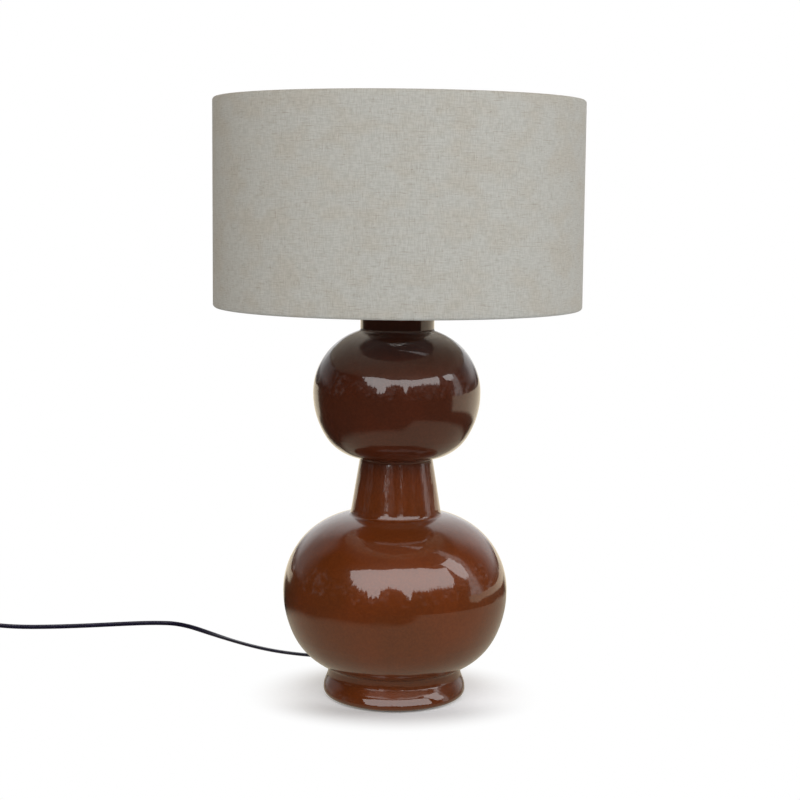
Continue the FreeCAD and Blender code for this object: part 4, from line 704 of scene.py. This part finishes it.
@dataclass
class FlatFlex:
    """Flat two core flex that follows a smooth route: 5.6 mm wide and 3.4 mm thick."""

    half_width: float = 0.0028
    half_thick: float = 0.0017
    groove: float = 0.00022
    # A flat stretch is lowered on to the table, and not at all this much above it.
    landing: float = 0.006
    corners: int = 20

    def route(self, points: Sequence[Point]) -> Loop:
        """Points read from the smooth line of a route.

        Args:
            points: The route's own points, in metres.

        Returns:
            Points along the NURBS spline that has those points as its control points.
        """
        curve = bpy.data.curves.new("route", "CURVE")
        curve.dimensions = "3D"
        curve.resolution_u = 10
        spline = curve.splines.new("NURBS")
        spline.points.add(len(points) - 1)
        for control, point in zip(spline.points, points):
            control.co = (*point, 1.0)
        spline.order_u = 3
        spline.use_endpoint_u = True
        guide = add_object("route", curve)
        mesh = bpy.data.meshes.new_from_object(guide)
        line = [vertex.co.copy() for vertex in mesh.vertices]
        bpy.data.objects.remove(guide)
        bpy.data.curves.remove(curve)
        bpy.data.meshes.remove(mesh)
        return line

    def outline(self) -> list[Pair]:
        """Section of the flex: two cores side by side, with a shallow groove between them."""
        middle = self.half_width - self.half_thick
        corners = []
        for number in range(self.corners):
            angle = math.tau * number / self.corners
            across = math.cos(angle) * self.half_thick + math.copysign(middle, math.cos(angle))
            if abs(math.cos(angle)) < 1e-6:
                across = 0.0
            dip = self.groove * (1 - min(abs(across) / middle, 1.0))
            high = math.sin(angle) * self.half_thick
            corners.append((across, high - math.copysign(dip, high)))
        return corners

    def sweep(self, name: str, line: Loop, edge_up: Callable[[Vector], float]
              ) -> tuple[bpy.types.Object, Loop]:
        """Sweeps the flex along a line.

        Args:
            name: The piece's name.
            line: The smooth line of the route.
            edge_up: How far the flex stands on its edge at a point, from 0, flat, to 1.

        Returns:
            The piece, and the points on its own centre line.
        """
        outline, loops, centres = self.outline(), [], []
        for number, point in enumerate(line):
            before, after = line[max(number - 1, 0)], line[min(number + 1, len(line) - 1)]
            way = (after - before).normalized()
            side = way.cross(Vector((0, 0, 1))).normalized()
            up = side.cross(way)
            turn = math.pi / 2 * edge_up(point)
            wide = side * math.cos(turn) + up * math.sin(turn)
            thin = up * math.cos(turn) - side * math.sin(turn)
            low = self.half_thick + (self.half_width - self.half_thick) * abs(math.sin(turn))
            rest = max(0.0, 1 - (point.z - self.half_width) / self.landing)
            centre = point + Vector((0, 0, (low - self.half_width) * min(rest, 1.0)))
            centres.append(centre)
            loops.append([centre + wide * across + thin * high for across, high in outline])
        points, faces = skin(loops)
        piece = mesh_piece(name, points, faces, finish_material(Finish.JACKET), "base")
        return piece, centres


@dataclass
class Cords:
    """The free cord: from the lamp to the hand switch, and on through the coil to the plug."""

    flex: FlatFlex = field(default_factory=FlatFlex)
    lead_points: list[Point] = field(default_factory=lambda: [
        (-0.05235, 0.09067, 0.0130), (-0.05935, 0.1028, 0.0130), (-0.0735, 0.1210, 0.0090),
        (-0.0920, 0.1385, 0.0046), (-0.1170, 0.1530, 0.0028), (-0.1420, 0.1642, 0.0028),
        (-0.1660, 0.1805, 0.0028), (-0.1900, 0.2015, 0.0028), (-0.2260, 0.2378, 0.0028),
        (-0.2760, 0.2910, 0.0028), (-0.3120, 0.2940, 0.0028), (-0.3520, 0.2860, 0.0028),
        (-0.3950, 0.2755, 0.0028), (-0.4380, 0.2680, 0.0028), (-0.4780, 0.2655, 0.0028),
        (-0.5120, 0.2665, 0.0048), (-0.5330, 0.2680, 0.0070), (-0.5490, 0.2680, 0.0070),
    ])
    run_points: list[Point] = field(default_factory=lambda: [
        (-0.6070, 0.2680, 0.0070), (-0.6210, 0.2680, 0.0070), (-0.6370, 0.2690, 0.0049),
        (-0.6520, 0.2696, 0.0037),
    ])
    tail_points: list[Point] = field(default_factory=lambda: [
        (-0.6880, 0.2696, 0.0099), (-0.7080, 0.2665, 0.0093), (-0.7260, 0.2560, 0.0080),
        (-0.7360, 0.2390, 0.00685), (-0.7360, 0.2220, 0.00685),
    ])
    coil_centre: Pair = (-0.668, 0.230)
    coil_radius: float = 0.0396
    coil_pitch: float = 0.0062
    coil_low: float = 0.0037
    layer_turns: float = 2.25
    points_per_turn: int = 16
    climb_turns: float = 0.5
    twist_start: float = -0.195
    twist_length: float = 0.09
    tie_width: float = 0.008
    tie_sheet: float = 0.0007
    tie_half_height: float = 0.0062
    tie_clearance: float = 0.0006
    tie_corner: float = 0.002
    tie_lap_gap: float = 0.0001
    tie_lap_end: float = 0.004

    def coil_points(self) -> list[Point]:
        """Route points of the coil: a spiral in, a climb of one layer and a spiral out."""
        total = 2 * self.layer_turns + self.climb_turns
        count = int(total * self.points_per_turn)
        # A spline of order 3 cuts its corners, so its control points lie a little further out.
        swell = 1 / math.cos(math.pi / self.points_per_turn) ** 0.5
        points = []
        for number in range(count + 1):
            turns = total * number / count
            radius = (self.coil_radius - self.coil_pitch * min(turns, total - turns)) * swell
            climb = ease((turns - self.layer_turns) / self.climb_turns)
            angle = math.pi / 2 + math.tau * turns
            points.append((self.coil_centre[0] + radius * math.cos(angle),
                           self.coil_centre[1] + radius * math.sin(angle),
                           self.coil_low + self.coil_pitch * climb))
        return points

    def lead_edge(self, point: Vector) -> float:
        """Flat near the lamp, on its edge at the switch, with a quarter twist between."""
        return ease((self.twist_start - point.x) / self.twist_length)

    def make(self) -> None:
        line = self.flex.route(self.lead_points)
        lead, centres = self.flex.sweep("cord_lead_flex", line, self.lead_edge)
        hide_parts("cord_lead")
        rest = self.flex.route(self.run_points + self.coil_points() + self.tail_points)
        run, centres = self.flex.sweep("cord_run_flex", rest, lambda point: 1.0)
        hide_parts("cord_run", "cord_coil", "cord_tail")
        tie = self.make_tie()

    def tie_line(self, half_x: float, half_z: float) -> list[Pair]:
        """Closed rectangle with round corners, as (x, z) about the tie's middle."""
        corner = self.tie_corner
        line: list[Pair] = []
        for side_x, side_z, start in ((1, 1, 0), (-1, 1, 90), (-1, -1, 180), (1, -1, 270)):
            for step in range(6):
                angle = math.radians(start + 90 * step / 5)
                line.append((side_x * (half_x - corner) + corner * math.cos(angle),
                             side_z * (half_z - corner) + corner * math.sin(angle)))
        return line + line[:1]

    def make_tie(self) -> bpy.types.Object:
        """Strap round the coil, with its end lapped over on top."""
        half, sheet, half_z = self.tie_width / 2, self.tie_sheet, self.tie_half_height
        half_x = self.coil_pitch + self.flex.half_width + self.tie_clearance
        middle = Vector((self.coil_centre[0], self.coil_centre[1] - self.coil_radius
                         + 1.5 * self.coil_pitch, sheet + half_z))
        loops = []
        for x, z in self.tie_line(half_x, half_z):
            way = Vector((x, z)).normalized()
            loops.append([middle + Vector((side * half, x + way.x * out, z + way.y * out))
                          for side, out in ((-1, 0.0), (1, 0.0), (1, sheet), (-1, sheet))])
        points, faces = skin(loops)
        laps = [(x, half_z + sheet + self.tie_lap_gap)
                for x in (half_x - self.tie_corner, 0.0, -half_x + self.tie_lap_end)]
        lap_points, lap_faces = skin([
            [middle + Vector((side * half, x, z + out))
             for side, out in ((-1, 0.0), (1, 0.0), (1, sheet * 0.5), (-1, sheet * 0.5))]
            for x, z in laps])
        faces += [[corner + len(points) for corner in face] for face in lap_faces]
        points += lap_points
        tie = mesh_piece("coil_tie_strap", points, faces, finish_material(Finish.STRAP), "base")
        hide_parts("coil_tie")
        return tie


# ------------------------------ studio


@dataclass(frozen=True)
class SoftLight:
    """A soft rectangular light that lights the pieces and shows in no reflection.

    Lengths are in metres and the power is in watts.
    """

    name: str
    place: Point
    way: Point
    size: Pair
    power: float

    def make(self) -> None:
        """Adds the light."""
        data = bpy.data.lights.new(self.name, "AREA")
        data.shape = "RECTANGLE"
        data.size, data.size_y = self.size
        data.energy = self.power
        light = add_object(self.name, data)
        light.location = self.place
        light.rotation_mode = "QUATERNION"
        light.rotation_quaternion = Vector(self.way).to_track_quat("-Z", "Y")
        light.visible_camera = False
        light.visible_glossy = False


@dataclass
class Studio:
    """White floor, soft lights, the surroundings that the glaze mirrors, and the camera.

    Attributes:
        lens, sensor: Focal length and sensor width, in millimetres.
        eye: Where the camera stands.
        pitch, roll: How far it looks down and how far it leans, in radians.
        fill: Plain light from all sides.
        sky_level, ceiling: Brightness mirrored from the sky and from overhead.
        floor_lift, painted_side_light: Brightness that the camera sees added to the floor, and
        painted light added to that level beside and behind the lamp, which keeps the lamp's
        shadow darker in front.
        floor_fade: Distances at which the floor starts to turn white and is white.
        soft_edge: How quickly mirrored edges change from dark to bright.
        tree_span: First direction of tree_tops and how many degrees it covers.
        rear: Brightness behind the lamp, by direction in degrees from the front.
        tree_tops: Height of the tree tops by direction, both in degrees.
    """

    lens: float = 77.14
    sensor: float = 36.0
    eye: Point = (0.0036, -1.8654, 0.55424)
    pitch: float = 0.1195
    roll: float = 0.0096
    fill: float = 0.34
    sky_level: float = 4.0
    ceiling: float = 0.10
    floor_lift: float = 0.06
    painted_side_light: float = 0.24
    floor_fade: Pair = (0.076, 0.145)
    floor_size: float = 9.0
    floor_drop: float = 0.0002
    soft_edge: float = 0.02
    tree_span: Pair = (-75.0, 190.0)
    rear: tuple[Pair, ...] = (
        (-180, 1.0), (-155, 0.9), (-135, 0.35), (-118, 0.30), (-104, 0.0), (112, 0.0), (125, 0.3),
        (140, 0.8), (180, 1.0),
    )
    tree_tops: tuple[Pair, ...] = (
        (-75, 90), (-64, 90), (-62, 44), (-52, 30), (-40, 18), (-29, 17), (-27, 10), (-18, 9),
        (-16, 20), (-4, 25), (6, 22), (10, 19), (11, 10), (15, 10), (16, 19), (40, 20), (60, 18),
        (66, 20), (68, 90), (115, 90),
    )
    lights: tuple[SoftLight, ...] = (
        SoftLight("soft_front", (-0.2, -2.1, 1.7), (0.2, 2.1, -1.35), (1.8, 1.4), 32.5),
        SoftLight("soft_side", (2.3, -0.2, 1.2), (-2.3, 0.2, -0.8), (1.4, 1.4), 19.0),
        SoftLight("soft_rear", (0.3, 2.4, 1.5), (-0.3, -2.4, -1.1), (1.6, 1.4), 14.0),
    )

    def make_camera(self) -> None:
        """Puts the camera where the picture was taken from."""
        data = bpy.data.cameras.new("camera")
        data.lens = self.lens
        data.sensor_width = self.sensor
        data.clip_end = 50.0
        camera = add_object("camera", data)
        camera.matrix_world = (Matrix.Translation(self.eye)
                               @ Matrix.Rotation(math.pi / 2 - self.pitch, 4, "X")
                               @ Matrix.Rotation(self.roll, 4, "Z"))
        bpy.context.scene.camera = camera

    def seen_floor(self, tree: Tree, axes: Node, seen: Socket) -> Node:
        """What the camera sees: the lamp's shadow on white, lightened by painted light beside and
        behind the lamp, and turning pure white further out.
        """
        lit = add_node(tree, "BsdfDiffuse", {"Color": linear("eaf1fa")})
        # Painted light: the floor is lifted more beside and behind the lamp than in front of it,
        # which lightens the shadow at its sides.
        beside = smooth(tree, axes.outputs["Y"], -0.085, -0.02)
        rise = calc(tree, "MULTIPLY_ADD", beside, self.painted_side_light, self.floor_lift)
        lift = add_node(tree, "Emission", {
            "Color": (1, 1, 1, 1), "Strength": product(tree, seen, rise)})
        near = add_node(tree, "AddShader", {0: lit.outputs[0], 1: lift.outputs[0]})
        white = add_node(tree, "Emission", {"Color": (1, 1, 1, 1), "Strength": 1.0})
        oval = reach_of(tree, product(tree, axes.outputs["X"], 0.85), axes.outputs["Y"])
        fade = product(tree, smooth(tree, oval, *self.floor_fade), seen)
        return add_node(tree, "MixShader", {0: fade, 1: near.outputs[0], 2: white.outputs[0]})

    def mirrored_floor(self, tree: Tree, axes: Node) -> Socket:
        """What polished pieces see in the floor, which glows for them: a painted reflection of a
        white table that ends at arm's length, and of a pale room.
        """
        across, along = axes.outputs["X"], axes.outputs["Y"]
        reach = reach_of(tree, across, along)
        # The table reaches further at the right.
        right = smooth(tree, across, 0.0, 0.3)
        longer = calc(tree, "MULTIPLY_ADD", right, -0.25, reach)
        table = product(tree, 0.42, smooth(tree, longer, 0.42, 0.30))
        behind = calc(tree, "DIVIDE", along, reach)
        room = product(tree, smooth(tree, behind, 0.80, 0.93),
                       smooth(tree, reach, 0.40, 0.52))
        # Far off the floor is pale at the right as well.
        left = calc(tree, "LESS_THAN", across, 0.0)
        rightward = calc(tree, "ADD", behind, product(tree, left, -0.88))
        rightward = product(tree, smooth(tree, rightward, -0.22, -0.12),
                            smooth(tree, reach, 1.0, 1.3))
        room = calc(tree, "MAXIMUM", room, rightward)
        return calc(tree, "ADD", calc(tree, "MAXIMUM", table, room), 0.02)

    def make_floor(self) -> None:
        """White floor that keeps the lamp's shadow."""
        size = self.floor_size
        mesh = bpy.data.meshes.new("floor")
        corners = [(-size, -size, 0), (size, -size, 0), (size, size, 0), (-size, size, 0)]
        mesh.from_pydata(corners, [], [(0, 1, 2, 3)])
        floor = add_object("floor", mesh)
        floor.location.z = -self.floor_drop
        material = bpy.data.materials.new("white_floor")
        material.use_nodes = True
        tree = material.node_tree
        tree.nodes.clear()
        _, axes = row_frame(tree)
        rays = add_node(tree, "LightPath").outputs
        plain = self.seen_floor(tree, axes, rays["Is Camera Ray"])
        # The floor glows in reflections only: a painted reflection of the table and the room.
        painted_floor_glow = add_node(tree, "Emission", {
            "Color": linear("fff1d6"), "Strength": self.mirrored_floor(tree, axes)})
        both = add_node(tree, "MixShader", {
            0: rays["Is Glossy Ray"], 1: plain.outputs[0], 2: painted_floor_glow.outputs[0]})
        add_node(tree, "OutputMaterial", {"Surface": both.outputs[0]})
        floor.data.materials.append(material)

    def above(self, tree: Tree, value: Socket, edge: Socket) -> Socket:
        """1 where a value is above an edge and 0 below it, with a soft step."""
        return smooth(tree, calc(tree, "SUBTRACT", value, edge), 0.0, self.soft_edge)

    def openings(self, tree: Tree, turn: Socket, rise: Socket) -> Socket:
        """Open sky over the tree tops in front, and through a second opening at the right."""
        first, span = self.tree_span
        share = calc(tree, "MULTIPLY_ADD", turn, 180 / math.pi / span, -first / span)
        tops = ramp(tree, share, [((angle - first) / span, (height / 90,) * 3 + (1.0,))
                                  for angle, height in self.tree_tops])
        place = add_node(tree, "CombineXYZ", {0: product(tree, turn, 9.0), 1: 0.0, 2: 0.0})
        ragged = noise(tree, place.outputs[0], 3.0, 8.0, 0.8)
        leaves = calc(tree, "MULTIPLY_ADD", ragged, 0.7, -0.35)
        edge = calc(tree, "ADD", product(tree, tops, math.pi / 2), leaves)
        # A roof edge ends the sky at 53 degrees in the middle and lower towards the sides.
        off = calc(tree, "POWER", calc(tree, "SUBTRACT", turn, 0.09), 2.0)
        roof = calc(tree, "MULTIPLY_ADD", off, -0.17, 0.925)
        front = product(tree, self.above(tree, rise, edge), self.above(tree, roof, rise))
        # The second opening is cut off aslant at its left.
        aslant = calc(tree, "MULTIPLY_ADD", rise, 0.5, calc(tree, "SUBTRACT", turn, 1.535))
        second = product(tree, smooth(tree, aslant, 0.0, 0.03),
                         smooth(tree, turn, 1.61, 1.58))
        low_edge = calc(tree, "ADD", leaves, 0.36)
        tall = product(tree, self.above(tree, rise, low_edge),
                       smooth(tree, rise, 0.87, 0.85))
        return calc(tree, "MAXIMUM", front, product(tree, second, tall))

    def room_behind(self, tree: Tree, turn: Socket, rise: Socket, along: Socket) -> Socket:
        """Brightness behind the lamp, over the edge of the table."""
        share = calc(tree, "MULTIPLY_ADD", turn, 0.5 / math.pi, 0.5)
        behind = ramp(tree, share, [((angle + 180) / 360, (bright,) * 3 + (1.0,))
                                    for angle, bright in self.rear])
        low_rear = smooth(tree, along, 0.90, 0.98)
        above_table = smooth(tree, rise, 0.02, 0.16)
        room = add_node(tree, "Mix", {0: above_table, 2: low_rear, 3: behind}).outputs[0]
        return product(tree, room, smooth(tree, rise, 0.95, 0.70))

    def sky(self, tree: Tree) -> Socket:
        """What the glaze mirrors: open sky over tree tops in front, and a pale room behind.

        Args:
            tree: The world's node tree.

        Returns:
            The brightness in each direction.
        """
        way = add_node(tree, "TexCoord").outputs["Generated"]
        axes = add_node(tree, "SeparateXYZ", {0: way})
        ahead = product(tree, axes.outputs["Y"], -1.0)
        turn = calc(tree, "ARCTAN2", axes.outputs["X"], ahead)
        rise = calc(tree, "ARCSINE", axes.outputs["Z"])
        # A pale post stands beside the second opening, and the woods let light through in patches.
        patchy = noise(tree, way, 9.0, 6.0, 0.7)
        post = product(tree, smooth(tree, turn, 1.46, 1.52),
                       smooth(tree, turn, 1.78, 1.66))
        post = product(tree, post, smooth(tree, patchy, 0.30, 0.55))
        woods = product(tree, smooth(tree, patchy, 0.48, 0.70),
                        smooth(tree, rise, 0.55, 0.30))
        overhead = product(tree, smooth(tree, rise, 0.85, 1.05), self.ceiling)
        woods = calc(tree, "MULTIPLY_ADD", woods, 0.5, overhead)
        level = calc(tree, "MULTIPLY_ADD", self.openings(tree, turn, rise), self.sky_level, woods)
        level = calc(tree, "MAXIMUM", level, product(tree, post, 1.3))
        room = self.room_behind(tree, turn, rise, axes.outputs["Y"])
        return calc(tree, "MAXIMUM", level, product(tree, room, 0.95))

    def make_world(self) -> None:
        """White for the camera, a plain light level for the lamp and the sky for reflections."""
        world = bpy.data.worlds.new("studio")
        bpy.context.scene.world = world
        world.use_nodes = True
        tree = world.node_tree
        tree.nodes.clear()
        rays = add_node(tree, "LightPath").outputs
        shown = calc(tree, "MAXIMUM", rays["Is Camera Ray"], rays["Is Transmission Ray"])
        level = add_node(tree, "Mix", {
            0: rays["Is Glossy Ray"], 2: self.fill, 3: self.sky(tree)})
        strength = add_node(tree, "Mix", {0: shown, 2: level.outputs[0], 3: 1.0})
        plain = calc(tree, "MAXIMUM", shown, rays["Is Glossy Ray"])
        tint = mix_colour(tree, plain, linear("ffe6c4"), linear("ffffff"))
        backdrop = add_node(tree, "Background", {"Color": tint, "Strength": strength.outputs[0]})
        add_node(tree, "OutputWorld", {"Surface": backdrop.outputs[0]})

    def make(self) -> None:
        """Makes the floor, the world and the lights."""
        self.make_floor()
        self.make_world()
        for light in self.lights:
            light.make()
        bpy.context.scene.view_settings.view_transform = "Standard"


def main() -> None:
    """Builds the lamp's pieces in order."""
    logging.basicConfig(level=logging.INFO, format="%(message)s")
    studio = Studio()
    studio.make_camera()
    Cords().make()
    CarriedSolids().dress()
    LinenShade().make()
    FeltPad().make()
    studio.make()


if __name__ == "__main__":
    main()
